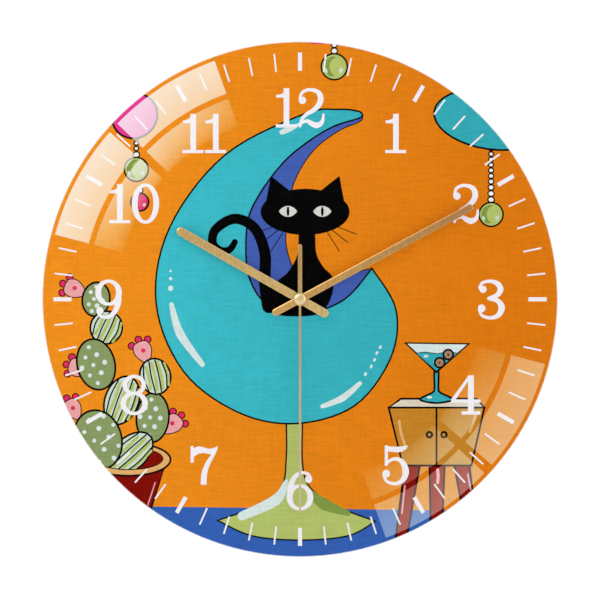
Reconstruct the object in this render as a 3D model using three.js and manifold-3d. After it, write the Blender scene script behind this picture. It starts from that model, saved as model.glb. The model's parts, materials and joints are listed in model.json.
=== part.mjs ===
// A frameless round wall clock: a clear front disc over a printed dial sheet and a rear board, carried by
// a battery quartz movement whose gear train turns the hour, minute and second hands.
//
// Sizes are in millimetres. Every piece is drawn as it is seen from the front: X to the right, Y up, and
// Z from the wall towards the viewer, with the hands' axis on the Z axis and the wall at Z = 0. The
// outermost group turns that frame so that +Z is up and the dial faces -Y.

import * as THREE from "three";
import { mergeVertices } from "three/addons/utils/BufferGeometryUtils.js";
import Module from "manifold-3d";

const wasm = await Module();
wasm.setup();

// ---------------------------------------------------------------- driving dimensions

const DIAL_DIAMETER = 300;
const LENS_THICKNESS = 3;
const SHEET_THICKNESS = 0.3;
const BOARD_THICKNESS = 5;
const MOVEMENT_SIDE = 56;
const MOVEMENT_DEPTH = 16;
const HAND_THICKNESS = 0.4;
const SECOND_HAND_THICKNESS = 0.3;
const HAND_SPACING = 1;

// Hands: reach of the pointer and of the tail from the axis, width, and angle clockwise from 12 o'clock.
const HOUR_HAND = { reach: 82, tail: 18.7, width: 5, angle: 299.6 };
const MINUTE_HAND = { reach: 114, tail: 18, width: 4.2, angle: 61.7 };
const SECOND_HAND = { reach: 122.6, tail: 32, width: 1.6, tailWidth: 3, angle: 180 };
const CAP_RADIUS = 4;
const CAP_HEIGHT = 1.5;
const MINUTE_HUB = 3.2;

// Clearances: between bonded layers, between stacked loose pieces, and beside a running shaft.
const BOND_GAP = 0.1;
const STACK_GAP = 0.3;
const RUNNING_GAP = 0.3;

// Facets of a round piece, by how large it is.
const DISC_SIDES = 72;
const ROUND_SIDES = 24;
const SHAFT_SIDES = 12;

// Shafts and pipes on the hands' axis, as radii.
const SECOND_ARBOR = 0.5;
const MINUTE_PIPE = 1.75;
const HOUR_PIPE = 2.5;
const BUSH = 4;
const BORE = { minute: 0.75, hour: 2.05, bush: 2.8 };

// Plain arbors of the train, and the bosses and pivot holes that hold them.
const ARBOR = 0.4;
const REVERSE_ARBOR = 0.55;
const BOSS = 1.2;
const PIVOT_HOLE = 0.85;

// The dial's layers: how far each stops inside the rim, and the hole the hands' pipes pass through.
const SHEET_INSET = 0.5;
const BOARD_INSET = 1;
const PIPE_OPENING = HOUR_PIPE + 0.7;
const EDGE_ROUND = 1.4;
const EDGE_CHAMFER = 0.4;
const BOARD_CHAMFER = 0.5;
const COUNTERBORE = { radius: 9, floor: 2 };

// What clamps the movement to the board.
const HANGER_THICKNESS = 0.8;
const GASKET_DISC = { radius: 11, thickness: 0.8 };
const WASHER_DISC = { radius: 8, thickness: 0.5 };
const HEX_NUT = { acrossFlats: 12, thickness: 2 };

// The hanger's strip, its arm, and the hole and slot in the arm, as heights above the hands' axis.
const HANGER_ARM = { half: 11, stepLow: 29.5, stepHigh: 33, top: 44, back: 9 };
const NAIL = { holeY: 36.5, holeRadius: 3.5, slotHalf: 1.3, slotTop: 41.5 };

// ---------------------------------------------------------------- gear train

// Each mesh: leaves of the pinion, teeth of the wheel, and the distance between their axes.
const ROTOR_MESH = mesh(7, 42, 7.28);
const SECOND_MESH = mesh(7, 35, 8.16);
const THIRD_MESH = mesh(7, 56, 10);
const CENTRE_MESH = mesh(8, 60, 10);
const REVERSE_MESH = mesh(10, 30, 10);
const HOUR_MESH = mesh(8, 32, 10);

// Where each arbor stands, worked out from its distance and direction from the arbor that it meshes with.
const INTERMEDIATE_DIRECTION = THREE.MathUtils.degToRad(70);
const ROTOR_DIRECTION = THREE.MathUtils.degToRad(60);
const THIRD_DIRECTION = THREE.MathUtils.degToRad(150);
const REVERSE_DIRECTION = 0;
const HANDS_AXIS = new THREE.Vector2(0, 0);
const INTERMEDIATE_AXIS = polar(HANDS_AXIS, SECOND_MESH.distance, INTERMEDIATE_DIRECTION);
const ROTOR_AXIS = polar(INTERMEDIATE_AXIS, ROTOR_MESH.distance, ROTOR_DIRECTION);
const THIRD_AXIS = polar(HANDS_AXIS, THIRD_MESH.distance, THIRD_DIRECTION);
const REVERSE_AXIS = polar(HANDS_AXIS, REVERSE_MESH.distance, REVERSE_DIRECTION);

// Tooth flanks as [height above the pitch circle in modules, half thickness as a share of the pitch],
// from the root to the tip. The pitch line keeps enough backlash for a train that runs dry.
const WHEEL_FLANK = [[-1.2, 0.22], [0.9, 0.1]];
const LEAF_FLANK = [[-1.3, 0.13], [0, 0.16], [0.75, 0.06]];

// ---------------------------------------------------------------- heights above the wall

const CASE_WALL = 1.5;
const CAVITY_TOP = MOVEMENT_DEPTH - CASE_WALL;
const COVER_TOP = 1.2;
const PIVOT_FLOOR = 0.6;
const COVER_BOSS_TOP = 2.2;
const ARBOR_FOOT = 1;

const INTERMEDIATE_WHEEL = [2.8, 3.3];
const INTERMEDIATE_PINION = [3.3, 5];
const ROTOR_PINION = [2.5, 3.7];
const ROTOR_MAGNET = [4.2, 5.8];
const SECOND_WHEEL = [4, 4.6];
const SECOND_PINION = [4.6, 5.9];
const THIRD_WHEEL = [5.1, 5.7];
const MIDDLE_PLATE = [6.05, 6.45];
const THIRD_PINION = [6.6, 8.1];
const CENTRE_WHEEL = [6.95, 7.55];
const CLUTCH_SPRING = [7.7, 7.9];
const CANNON_PINION = [8.1, 10.2];
const REVERSE_WASHER = [8.2, 8.6];
const REVERSE_WHEEL = [8.8, 9.6];
const REVERSE_PINION = [9.6, 12.3];
const HOUR_WHEEL = [11.2, 12];
const HOUR_WASHER = [12.3, 12.7];
const STATOR = [4.9, 5.85];

const ARBOR_HEAD = 13.6;
const FRONT_BOSS = 12.7;
const PIVOT_HOLES = [12, 14.1];

const HANGER = stacked(MOVEMENT_DEPTH, BOND_GAP, HANGER_THICKNESS);
const GASKET = stacked(HANGER[1], BOND_GAP, GASKET_DISC.thickness);
const BOARD = stacked(GASKET[1], BOND_GAP, BOARD_THICKNESS);
const SHEET = stacked(BOARD[1], BOND_GAP, SHEET_THICKNESS);
const LENS = stacked(SHEET[1], BOND_GAP, LENS_THICKNESS);
const NUT_SEAT = BOARD[0] + COUNTERBORE.floor;
const WASHER = stacked(NUT_SEAT, BOND_GAP, WASHER_DISC.thickness);
const NUT = stacked(WASHER[1], BOND_GAP, HEX_NUT.thickness);
const HOUR_LEVEL = stacked(LENS[1], HAND_SPACING - BOND_GAP, HAND_THICKNESS);
const MINUTE_LEVEL = stacked(HOUR_LEVEL[1], HAND_SPACING, HAND_THICKNESS);
const SECOND_LEVEL = stacked(MINUTE_LEVEL[1], HAND_SPACING, SECOND_HAND_THICKNESS);
const CAP = stacked(SECOND_LEVEL[1], BOND_GAP, CAP_HEIGHT);

// ---------------------------------------------------------------- movement layout

const HALF_SIDE = MOVEMENT_SIDE / 2;
const CASE_CORNER = 4;
const CAVITY_EDGE = HALF_SIDE - CASE_WALL;
const BAY_WALL = { low: -11.6, high: -10.4 };
const BATTERY = { radius: 7.1, left: -24.3, right: 24.9, y: -19, z: 7.8, nub: 1.3, nubRadius: 2.75 };
const CELL_SHOULDER = 0.8;
const BAY_TOP = 15;
const FINGER_NOTCH = { radius: 9, below: 3, depth: 5 };
const POSTS = [[-22.5, -7.5], [-22.5, 15], [16.3, -8.3], [15.5, 14.5]];
const POST_RADIUS = 1.5;
const PLATE_SPAN = { x: [-24.5, 17.8], y: [-9.8, 18] };
const KNOB = { radius: 5, face: 0.3, top: 2.2, notches: 24, notchDepth: 0.4 };
const KNOB_SLOT = { end: 3.8, half: 0.5, depth: 0.7 };

// The coil lies along Y beside the train. Its core's ends overhang it by the width of the stator's legs.
const COIL = { x: 22, low: -7, high: 13, z: 5.4, radius: 3.6, flange: 0.8, core: 2.4, sleeve: 2 };
const LEG_WIDTH = 2.4;
const LEG_REACH = 3.3;
const EYE = { outer: 5.2, opening: 3.5 };
const MAGNET_RADIUS = 2.9;

// The contact strips climb the case's side walls from the battery bay to tabs on the circuit board.
const CONTACT = { thickness: 0.3, wallGap: 0.3, stripLow: 2.4, stripHigh: 4.9, passTop: 5.5 };
const CONTACT_PAD = { half: 5, top: 12.5 };
const CONTACT_TAB = { inner: 22, y: [20.5, 23], top: 24, lift: 0.15 };
const SPRING_BUTTON = [[0, 0], [3, 0], [1.4, 0.75], [0, 0.75]];
const CIRCUIT = { y: [19, 26], z: [3, 4], halfLength: 25.5, middle: 22.5 };
const CHIP = { x: -6, radius: 3, top: 2.2, height: 1.2 };
const CRYSTAL = { x: 6, radius: 1, length: 6 };

// ---------------------------------------------------------------- geometry helpers

// A toothed pair on axes a given distance apart, which sets the module.
function mesh(leaves, teeth, distance) {
  return { leaves, teeth, distance, module: (2 * distance) / (leaves + teeth) };
}

function polar(from, distance, direction) {
  return new THREE.Vector2(Math.cos(direction), Math.sin(direction)).multiplyScalar(distance).add(from);
}

// The bottom and top of a layer that sits a gap above another surface.
function stacked(below, gap, thickness) {
  return [below + gap, below + gap + thickness];
}

function extruded(shape, [bottom, top], curveSegments = 12) {
  const options = { depth: top - bottom, bevelEnabled: false, curveSegments };
  return new THREE.ExtrudeGeometry(shape, options).translate(0, 0, bottom);
}

// A solid of revolution about Z. The profile runs anticlockwise as [radius, height].
function turned(profile, sides = ROUND_SIDES) {
  const points = profile.map(([radius, height]) => new THREE.Vector2(radius, height));
  return new THREE.LatheGeometry(points, sides).rotateX(Math.PI / 2);
}

function disc(radius, [bottom, top], sides = ROUND_SIDES) {
  return turned([[0, bottom], [radius, bottom], [radius, top], [0, top]], sides);
}

function ring(inner, outer, [bottom, top], sides = ROUND_SIDES) {
  return turned([[inner, bottom], [outer, bottom], [outer, top], [inner, top], [inner, bottom]], sides);
}

function block([x0, x1], [y0, y1], [z0, z1]) {
  const box = new THREE.BoxGeometry(x1 - x0, y1 - y0, z1 - z0);
  return box.translate((x0 + x1) / 2, (y0 + y1) / 2, (z0 + z1) / 2);
}

function polygon(points) {
  return new THREE.Shape(points.map(([x, y]) => new THREE.Vector2(x, y)));
}

function roundedSquare(half, radius) {
  const shape = new THREE.Shape();
  const inner = half - radius;
  shape.absarc(inner, inner, radius, 0, Math.PI / 2);
  shape.absarc(-inner, inner, radius, Math.PI / 2, Math.PI);
  shape.absarc(-inner, -inner, radius, Math.PI, 1.5 * Math.PI);
  shape.absarc(inner, -inner, radius, 1.5 * Math.PI, 2 * Math.PI);
  return shape;
}

function regularPolygon(sides, radius) {
  const corner = (k) => polar(HANDS_AXIS, radius, (k * 2 * Math.PI) / sides);
  return new THREE.Shape(Array.from({ length: sides }, (_, k) => corner(k)));
}

function toSolid(geometry) {
  const bare = geometry.clone();
  bare.deleteAttribute("normal");
  bare.deleteAttribute("uv");
  const merged = mergeVertices(bare);
  const vertProperties = merged.attributes.position.array;
  const triVerts = new Uint32Array(merged.index.array);
  return new wasm.Manifold(new wasm.Mesh({ numProp: 3, vertProperties, triVerts }));
}

function toGeometry(solid) {
  const { vertProperties, triVerts } = solid.getMesh();
  const indexed = new THREE.BufferGeometry();
  indexed.setAttribute("position", new THREE.BufferAttribute(vertProperties, 3));
  indexed.setIndex(new THREE.BufferAttribute(triVerts, 1));
  const flat = indexed.toNonIndexed();
  flat.computeVertexNormals();
  return flat;
}

function joined(first, ...rest) {
  return toGeometry(rest.reduce((sum, piece) => sum.add(toSolid(piece)), toSolid(first)));
}

function cut(body, ...tools) {
  return toGeometry(tools.reduce((left, tool) => left.subtract(toSolid(tool)), toSolid(body)));
}

function at(geometry, place) {
  return geometry.translate(place.x, place.y, 0);
}

// ---------------------------------------------------------------- toothed shapes

// A toothed outline with one tooth centred on the direction `phase`.
function toothedShape(teeth, module, flank, phase) {
  const pitchRadius = (teeth * module) / 2;
  const step = (2 * Math.PI) / teeth;
  const side = (centre, sign) => flank.map(([height, half]) =>
    polar(HANDS_AXIS, pitchRadius + height * module, centre + sign * half * step));
  const tooth = (centre) => [...side(centre, -1), ...side(centre, 1).reverse()];
  return new THREE.Shape(Array.from({ length: teeth }, (_, k) => tooth(phase + k * step)).flat());
}

function toothedWheel(pair, level, phase, bore) {
  const shape = toothedShape(pair.teeth, pair.module, WHEEL_FLANK, phase);
  if (bore > 0) shape.holes.push(regularPath(bore));
  return extruded(shape, level);
}

function toothedPinion(pair, level, phase, bore) {
  const shape = toothedShape(pair.leaves, pair.module, LEAF_FLANK, phase);
  if (bore > 0) shape.holes.push(regularPath(bore));
  return extruded(shape, level);
}

function regularPath(radius) {
  return new THREE.Path(regularPolygon(SHAFT_SIDES, radius).getPoints().reverse());
}

// The phase at which a gear meshes with one whose phase is known: a tooth of the first stands opposite a
// gap of the second along the line of centres, which runs from the first in the given direction.
function meshedPhase(firstPhase, firstTeeth, secondTeeth, direction) {
  const offset = ((direction - firstPhase) * firstTeeth) / (2 * Math.PI);
  return direction + Math.PI - ((0.5 - offset) * 2 * Math.PI) / secondTeeth;
}

// ---------------------------------------------------------------- materials

function material(color, roughness, metalness, extra = {}) {
  return new THREE.MeshStandardMaterial({ color, roughness, metalness, ...extra });
}

const clearAcrylic = material(0xf4f8fa, 0.04, 0, { transparent: true, opacity: 0.2 });
const printedSheet = material(0xe67f1c, 0.45, 0);
const whiteBoard = material(0xe9e6df, 0.7, 0);
const blackPlastic = material(0x17181a, 0.5, 0);
const whiteNylon = material(0xefeee6, 0.45, 0);
const greenLaminate = material(0x2c6b46, 0.55, 0);
const blackRubber = material(0x1d1d1e, 0.85, 0);
const brass = material(0xc49a4e, 0.3, 1);
const steel = material(0xb9bcc0, 0.35, 1);
const magnet = material(0x4a4c50, 0.4, 1);
const copperWire = material(0xb5622d, 0.4, 1);
const batteryJacket = material(0x3c6fa8, 0.35, 0.2);
const lightGold = material(0xc5a062, 0.32, 1);
const deepGold = material(0xb4824e, 0.32, 1);
const paleGold = material(0xd6bf90, 0.25, 1);

// ---------------------------------------------------------------- dial

// The clear disc has a polished edge, rounded at the front, and a small hole for the hands' pipes.
function frontLens() {
  const radius = DIAL_DIAMETER / 2;
  const [back, front] = LENS;
  const inside = radius - EDGE_ROUND;
  const profile = [[PIPE_OPENING, back], [radius - EDGE_CHAMFER, back], [radius, back + EDGE_CHAMFER]];
  const roundSteps = 3;
  for (let k = 0; k <= roundSteps; k += 1) {
    const turn = (k / roundSteps) * (Math.PI / 2);
    profile.push([inside + EDGE_ROUND * Math.cos(turn), front - EDGE_ROUND * (1 - Math.sin(turn))]);
  }
  profile.push([PIPE_OPENING, front], [PIPE_OPENING, back]);
  return turned(profile, DISC_SIDES);
}

function artworkSheet() {
  return ring(PIPE_OPENING, DIAL_DIAMETER / 2 - SHEET_INSET, SHEET, DISC_SIDES);
}

// The board's counterbore hides the nut behind the printed sheet.
function dialBoard() {
  const [back, front] = BOARD;
  const radius = DIAL_DIAMETER / 2 - BOARD_INSET;
  const bushHole = BUSH + RUNNING_GAP;
  const profile = [
    [bushHole, back], [radius - BOARD_CHAMFER, back], [radius, back + BOARD_CHAMFER], [radius, front],
    [COUNTERBORE.radius, front], [COUNTERBORE.radius, NUT_SEAT], [bushHole, NUT_SEAT], [bushHole, back],
  ];
  return turned(profile, DISC_SIDES);
}

function hexNut() {
  const shape = regularPolygon(6, HEX_NUT.acrossFlats / Math.sqrt(3));
  shape.holes.push(regularPath(BUSH + RUNNING_GAP));
  return extruded(shape, NUT);
}

// A stamped steel bracket under the movement's nut. Its arm steps back towards the wall above the case
// and ends in a hanging hole with a narrow slot over it.
function hangerBracket() {
  const { half, stepLow, stepHigh, top, back } = HANGER_ARM;
  const front = back + HANGER_THICKNESS;
  const lap = HANGER_THICKNESS / 2;
  const side = polygon([
    [-half, HANGER[0]], [stepLow, HANGER[0]], [stepHigh, back], [top, back],
    [top, front], [stepHigh + lap, front], [stepLow + lap, HANGER[1]], [-half, HANGER[1]],
  ]);
  const strip = extruded(side, [-half, half]).rotateX(Math.PI / 2).rotateZ(Math.PI / 2);
  const reach = [-1, HANGER[1] + 1];
  const bushHole = disc(BUSH + RUNNING_GAP, reach);
  const nailHole = at(disc(NAIL.holeRadius, reach), new THREE.Vector2(0, NAIL.holeY));
  const nailSlot = block([-NAIL.slotHalf, NAIL.slotHalf], [NAIL.holeY, NAIL.slotTop], reach);
  return cut(strip, bushHole, nailHole, nailSlot);
}

function buildDial(parent) {
  add(parent, "front_lens", frontLens(), clearAcrylic);
  add(parent, "artwork_sheet", artworkSheet(), printedSheet);
  add(parent, "dial_board", dialBoard(), whiteBoard);
  add(parent, "hanger_bracket", hangerBracket(), steel);
  add(parent, "rubber_gasket", ring(BUSH + RUNNING_GAP, GASKET_DISC.radius, GASKET), blackRubber);
  add(parent, "flat_washer", ring(BUSH + RUNNING_GAP, WASHER_DISC.radius, WASHER), steel);
  add(parent, "hex_nut", hexNut(), brass);
}

// ---------------------------------------------------------------- movement housing

function pivotBoss(place, span, radius = BOSS) {
  return at(disc(radius, span, SHAFT_SIDES), place);
}

// The moulded case is open at the back, with a wall between the gear cavity and the battery bay, posts
// for the middle plate, and the threaded bush that passes through the dial.
function movementCase() {
  const outer = extruded(roundedSquare(HALF_SIDE, CASE_CORNER), [0, MOVEMENT_DEPTH], 4);
  const inside = [-CAVITY_EDGE, CAVITY_EDGE];
  const cavity = block(inside, [BAY_WALL.high, CAVITY_EDGE], [-1, CAVITY_TOP]);
  const bay = block(inside, [-CAVITY_EDGE, BAY_WALL.low], [-1, BAY_TOP]);
  const stripPass = [-1, CONTACT.passTop];
  const passWidth = CONTACT.thickness + 2 * CONTACT.wallGap;
  const passes = [-1, 1].map((side) => {
    const edges = [side * CAVITY_EDGE, side * (CAVITY_EDGE - passWidth)].sort((a, b) => a - b);
    return block(edges, [BAY_WALL.low - 1, BAY_WALL.high + 1], stripPass);
  });
  const notchCentre = new THREE.Vector2(0, -HALF_SIDE - FINGER_NOTCH.below);
  const fingerNotch = at(disc(FINGER_NOTCH.radius, [-1, FINGER_NOTCH.depth]), notchCentre);
  const shell = cut(outer, cavity, bay, ...passes, fingerNotch);
  const root = CAVITY_TOP + CASE_WALL / 3;
  const postSpan = [MIDDLE_PLATE[1] + BOND_GAP, root];
  const posts = POSTS.map(([x, y]) => pivotBoss(new THREE.Vector2(x, y), postSpan, POST_RADIUS));
  const frontPivots = [THIRD_AXIS, REVERSE_AXIS];
  const bosses = frontPivots.map((axis) => pivotBoss(axis, [FRONT_BOSS, root]));
  const bush = disc(BUSH, [MOVEMENT_DEPTH - 1, NUT[1]]);
  const filled = joined(shell, ...posts, ...bosses, bush);
  const bore = disc(BORE.bush, [CAVITY_TOP - 1, NUT[1] + 1]);
  const pivots = frontPivots.map((axis) => pivotBoss(axis, PIVOT_HOLES, PIVOT_HOLE));
  return cut(filled, bore, ...pivots);
}

// The cover closes the gear cavity at the back and carries the rear pivots. The setting knob turns in
// its round window.
function backCover() {
  const edge = CAVITY_EDGE - RUNNING_GAP;
  const plate = block([-edge, edge], [BAY_WALL.high + RUNNING_GAP, edge], [0, COVER_TOP]);
  const axes = [HANDS_AXIS, INTERMEDIATE_AXIS, ROTOR_AXIS, THIRD_AXIS];
  const bosses = axes.map((axis) => pivotBoss(axis, [COVER_TOP / 2, COVER_BOSS_TOP]));
  const pivots = axes.map((axis) => pivotBoss(axis, [PIVOT_FLOOR, COVER_BOSS_TOP + 1], PIVOT_HOLE));
  const knobWindow = at(disc(KNOB.radius + 0.5, [-1, COVER_TOP + 1]), REVERSE_AXIS);
  return cut(joined(plate, ...bosses), ...pivots, knobWindow);
}

// The middle plate carries the front pivots of the rotor and the intermediate wheel, and lets the other
// arbors pass.
function middlePlate() {
  const plate = block(PLATE_SPAN.x, PLATE_SPAN.y, MIDDLE_PLATE);
  const reach = [MIDDLE_PLATE[0] - 1, MIDDLE_PLATE[1] + 1];
  const pivot = ARBOR + 0.25;
  const holes = [
    [HANDS_AXIS, SECOND_ARBOR + 0.45], [INTERMEDIATE_AXIS, pivot], [ROTOR_AXIS, pivot],
    [THIRD_AXIS, 1.8], [REVERSE_AXIS, REVERSE_ARBOR + 0.35],
  ];
  return cut(plate, ...holes.map(([axis, radius]) => pivotBoss(axis, reach, radius)));
}

function buildHousing(parent) {
  add(parent, "movement_case", movementCase(), blackPlastic);
  add(parent, "back_cover", backCover(), blackPlastic);
  add(parent, "middle_plate", middlePlate(), whiteNylon);
}

// ---------------------------------------------------------------- motor and circuit

// A soft-iron plate with a round opening for the rotor and two legs that lead to the ends of the coil
// core. The lower leg slants down from the eye and then follows the coil.
function stator() {
  const eye = at(disc(EYE.outer, STATOR), ROTOR_AXIS);
  const legEnd = COIL.x - COIL.core / 2 - LEG_REACH - RUNNING_GAP;
  const legTop = COIL.high + RUNNING_GAP + LEG_WIDTH;
  const legFoot = COIL.low - RUNNING_GAP - LEG_WIDTH;
  const legInner = legEnd - LEG_WIDTH;
  const upperLeg = block([ROTOR_AXIS.x, legEnd], [COIL.high - RUNNING_GAP, legTop], STATOR);
  const lowerLeg = extruded(polygon([
    [ROTOR_AXIS.x + 1, 9.6], [legInner, 2.5], [legInner, legFoot], [legEnd, legFoot], [legEnd, 3.5],
    [ROTOR_AXIS.x + 4.5, 12],
  ]), STATOR);
  const opening = at(disc(EYE.opening, [STATOR[0] - 1, STATOR[1] + 1]), ROTOR_AXIS);
  return cut(joined(eye, upperLeg, lowerLeg), opening);
}

// The core runs through the bobbin and turns inwards at both ends to meet the stator's legs.
function coilCore() {
  const half = COIL.core / 2;
  const span = [COIL.x - half - LEG_REACH, COIL.x];
  const foot = COIL.low - RUNNING_GAP - LEG_WIDTH;
  const top = COIL.high + RUNNING_GAP + LEG_WIDTH;
  const bar = block([COIL.x - half, COIL.x + half], [foot, top], STATOR);
  const lowEnd = block(span, [foot, foot + LEG_WIDTH], STATOR);
  const highEnd = block(span, [top - LEG_WIDTH, top], STATOR);
  return joined(bar, lowEnd, highEnd);
}

function alongY(geometry) {
  return geometry.rotateX(-Math.PI / 2).translate(COIL.x, 0, COIL.z);
}

function coilBobbin() {
  const half = COIL.radius + BOND_GAP;
  const flangeX = [COIL.x - half, COIL.x + half];
  const flangeZ = [COIL.z - half, COIL.z + half];
  const lowFlange = block(flangeX, [COIL.low, COIL.low + COIL.flange], flangeZ);
  const highFlange = block(flangeX, [COIL.high - COIL.flange, COIL.high], flangeZ);
  const sleeve = alongY(disc(COIL.sleeve, [COIL.low, COIL.high]));
  const play = 0.2;
  const slot = COIL.core / 2 + play;
  const tunnelZ = [STATOR[0] - play, STATOR[1] + play];
  const tunnel = block([COIL.x - slot, COIL.x + slot], [COIL.low - 1, COIL.high + 1], tunnelZ);
  return cut(joined(sleeve, lowFlange, highFlange), tunnel);
}

function coilWinding() {
  const span = [COIL.low + COIL.flange + BOND_GAP, COIL.high - COIL.flange - BOND_GAP];
  return alongY(ring(COIL.sleeve + BOND_GAP, COIL.radius, span));
}

// One contact strip: a pad at the end of the battery, a strip up the case wall, and a tab on the circuit.
// The side is -1 at the left end and +1 at the right end.
function batteryContact(side, hasSpring) {
  const outer = side * (CAVITY_EDGE - CONTACT.wallGap);
  const inner = outer - side * CONTACT.thickness;
  const span = [outer, inner].sort((a, b) => a - b);
  const padY = [BATTERY.y - CONTACT_PAD.half, BATTERY.y + CONTACT_PAD.half];
  const pad = block(span, padY, [CONTACT.stripLow, CONTACT_PAD.top]);
  const strip = block(span, [BATTERY.y, CONTACT_TAB.top], [CONTACT.stripLow, CONTACT.stripHigh]);
  const tabSpan = [outer, side * CONTACT_TAB.inner].sort((a, b) => a - b);
  const tab = block(tabSpan, CONTACT_TAB.y, stacked(CIRCUIT.z[1], CONTACT_TAB.lift, CONTACT.thickness));
  const pieces = [strip, tab];
  if (hasSpring) {
    const sunk = inner + side * 0.05;
    const button = turned(SPRING_BUTTON, SHAFT_SIDES).rotateY((-side * Math.PI) / 2);
    pieces.push(button.translate(sunk, BATTERY.y, BATTERY.z));
  }
  return joined(pad, ...pieces);
}

function batteryCell() {
  const { radius, left, right, y, z, nub, nubRadius } = BATTERY;
  const length = right - left;
  const end = radius - CELL_SHOULDER;
  const profile = [
    [0, 0], [end, 0], [radius, CELL_SHOULDER], [radius, length - CELL_SHOULDER], [end, length],
    [nubRadius, length], [nubRadius, length + nub], [0, length + nub],
  ];
  return turned(profile).rotateY(-Math.PI / 2).translate(right, y, z);
}

// The chip is a low resin blob, and the crystal a small can on its side.
function controlChip() {
  const { radius, top, height } = CHIP;
  const foot = CIRCUIT.z[1] + BOND_GAP;
  const profile = [[0, foot], [radius, foot], [top, foot + height - 0.3], [0, foot + height - BOND_GAP]];
  return at(turned(profile, SHAFT_SIDES), new THREE.Vector2(CHIP.x, CIRCUIT.middle));
}

function quartzCrystal() {
  const can = disc(CRYSTAL.radius, [0, CRYSTAL.length], SHAFT_SIDES).rotateY(Math.PI / 2);
  return can.translate(CRYSTAL.x, CIRCUIT.middle, CIRCUIT.z[1] + BOND_GAP + CRYSTAL.radius);
}

function buildElectrics(parent) {
  const { y, z, halfLength } = CIRCUIT;
  add(parent, "stator", stator(), steel);
  add(parent, "coil_core", coilCore(), steel);
  add(parent, "coil_bobbin", coilBobbin(), whiteNylon);
  add(parent, "coil_winding", coilWinding(), copperWire);
  add(parent, "circuit_board", block([-halfLength, halfLength], y, z), greenLaminate);
  add(parent, "control_chip", controlChip(), blackPlastic);
  add(parent, "quartz_crystal", quartzCrystal(), steel);
  add(parent, "positive_contact", batteryContact(-1, false), steel);
  add(parent, "negative_contact", batteryContact(1, true), steel);
  add(parent, "battery", batteryCell(), batteryJacket);
}

// ---------------------------------------------------------------- train

function shaft(radius, span) {
  return disc(radius, span, SHAFT_SIDES);
}

function rotor(parent) {
  const axle = axisGroup(parent, ROTOR_AXIS);
  const phase = meshedPhase(0, ROTOR_MESH.teeth, ROTOR_MESH.leaves, ROTOR_DIRECTION);
  const pinion = joined(
    toothedPinion(ROTOR_MESH, ROTOR_PINION, phase),
    shaft(ARBOR, [ARBOR_FOOT, MIDDLE_PLATE[1]]),
  );
  add(axle, "rotor_pinion", pinion, whiteNylon);
  add(axle, "rotor_magnet", ring(ARBOR + BOND_GAP, MAGNET_RADIUS, ROTOR_MAGNET, SHAFT_SIDES), magnet);
}

function intermediateWheel(parent) {
  const phase = meshedPhase(0, SECOND_MESH.teeth, SECOND_MESH.leaves, INTERMEDIATE_DIRECTION);
  const wheel = joined(
    toothedWheel(ROTOR_MESH, INTERMEDIATE_WHEEL, 0),
    toothedPinion(SECOND_MESH, INTERMEDIATE_PINION, phase),
    shaft(ARBOR, [ARBOR_FOOT, MIDDLE_PLATE[1]]),
  );
  add(axisGroup(parent, INTERMEDIATE_AXIS), "intermediate_wheel", wheel, whiteNylon);
}

// The seconds wheel is moulded round a steel arbor that runs through the whole stack to the second hand.
function secondWheel(parent) {
  const bore = SECOND_ARBOR + BOND_GAP;
  const wheel = joined(
    toothedWheel(SECOND_MESH, SECOND_WHEEL, 0, bore),
    toothedPinion(THIRD_MESH, SECOND_PINION, 0, bore),
  );
  add(parent, "second_wheel", wheel, whiteNylon);
  add(parent, "second_arbor", shaft(SECOND_ARBOR, [ARBOR_FOOT, SECOND_LEVEL[0] - BOND_GAP]), steel);
}

function thirdWheel(parent) {
  const phase = meshedPhase(0, THIRD_MESH.leaves, THIRD_MESH.teeth, THIRD_DIRECTION);
  const wheel = joined(
    toothedWheel(THIRD_MESH, THIRD_WHEEL, phase),
    toothedPinion(CENTRE_MESH, THIRD_PINION, 0),
    shaft(ARBOR, [ARBOR_FOOT, ARBOR_HEAD]),
  );
  add(axisGroup(parent, THIRD_AXIS), "third_wheel", wheel, whiteNylon);
}

// The centre wheel carries the minute pipe by friction, through a sprung washer, so that the hands can
// be set without turning the train. The pipe's collar keeps the wheel in place from behind.
function minuteWork(parent) {
  const direction = THIRD_DIRECTION + Math.PI;
  const phase = meshedPhase(0, CENTRE_MESH.leaves, CENTRE_MESH.teeth, direction);
  const hole = MINUTE_PIPE + RUNNING_GAP;
  add(parent, "centre_wheel", toothedWheel(CENTRE_MESH, CENTRE_WHEEL, phase, hole), brass);
  add(parent, "clutch_spring", ring(MINUTE_PIPE + BOND_GAP, 2.6, CLUTCH_SPRING, SHAFT_SIDES), steel);
  const foot = MIDDLE_PLATE[1] + BOND_GAP;
  const pipe = joined(
    ring(BORE.minute, MINUTE_PIPE, [foot, MINUTE_LEVEL[1] + BOND_GAP], SHAFT_SIDES),
    ring(BORE.minute, 2.4, [foot, CENTRE_WHEEL[0] - BOND_GAP], SHAFT_SIDES),
    toothedPinion(REVERSE_MESH, CANNON_PINION, 0, BORE.minute),
  );
  add(parent, "minute_pipe", pipe, brass);
}

// The reverse wheel steps the minute pipe down to the hour wheel. Its arbor runs back to the setting
// knob.
function reverseWork(parent) {
  const axle = axisGroup(parent, REVERSE_AXIS);
  const phase = meshedPhase(0, REVERSE_MESH.leaves, REVERSE_MESH.teeth, REVERSE_DIRECTION);
  const wheel = joined(
    toothedWheel(REVERSE_MESH, REVERSE_WHEEL, phase),
    toothedPinion(HOUR_MESH, REVERSE_PINION, 0),
    shaft(REVERSE_ARBOR, [KNOB.top + BOND_GAP, ARBOR_HEAD]),
  );
  add(axle, "reverse_wheel", wheel, whiteNylon);
  add(axle, "reverse_washer", ring(REVERSE_ARBOR + 0.2, 1.6, REVERSE_WASHER, SHAFT_SIDES), steel);
  add(axle, "setting_knob", settingKnob(), blackPlastic);
}

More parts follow.
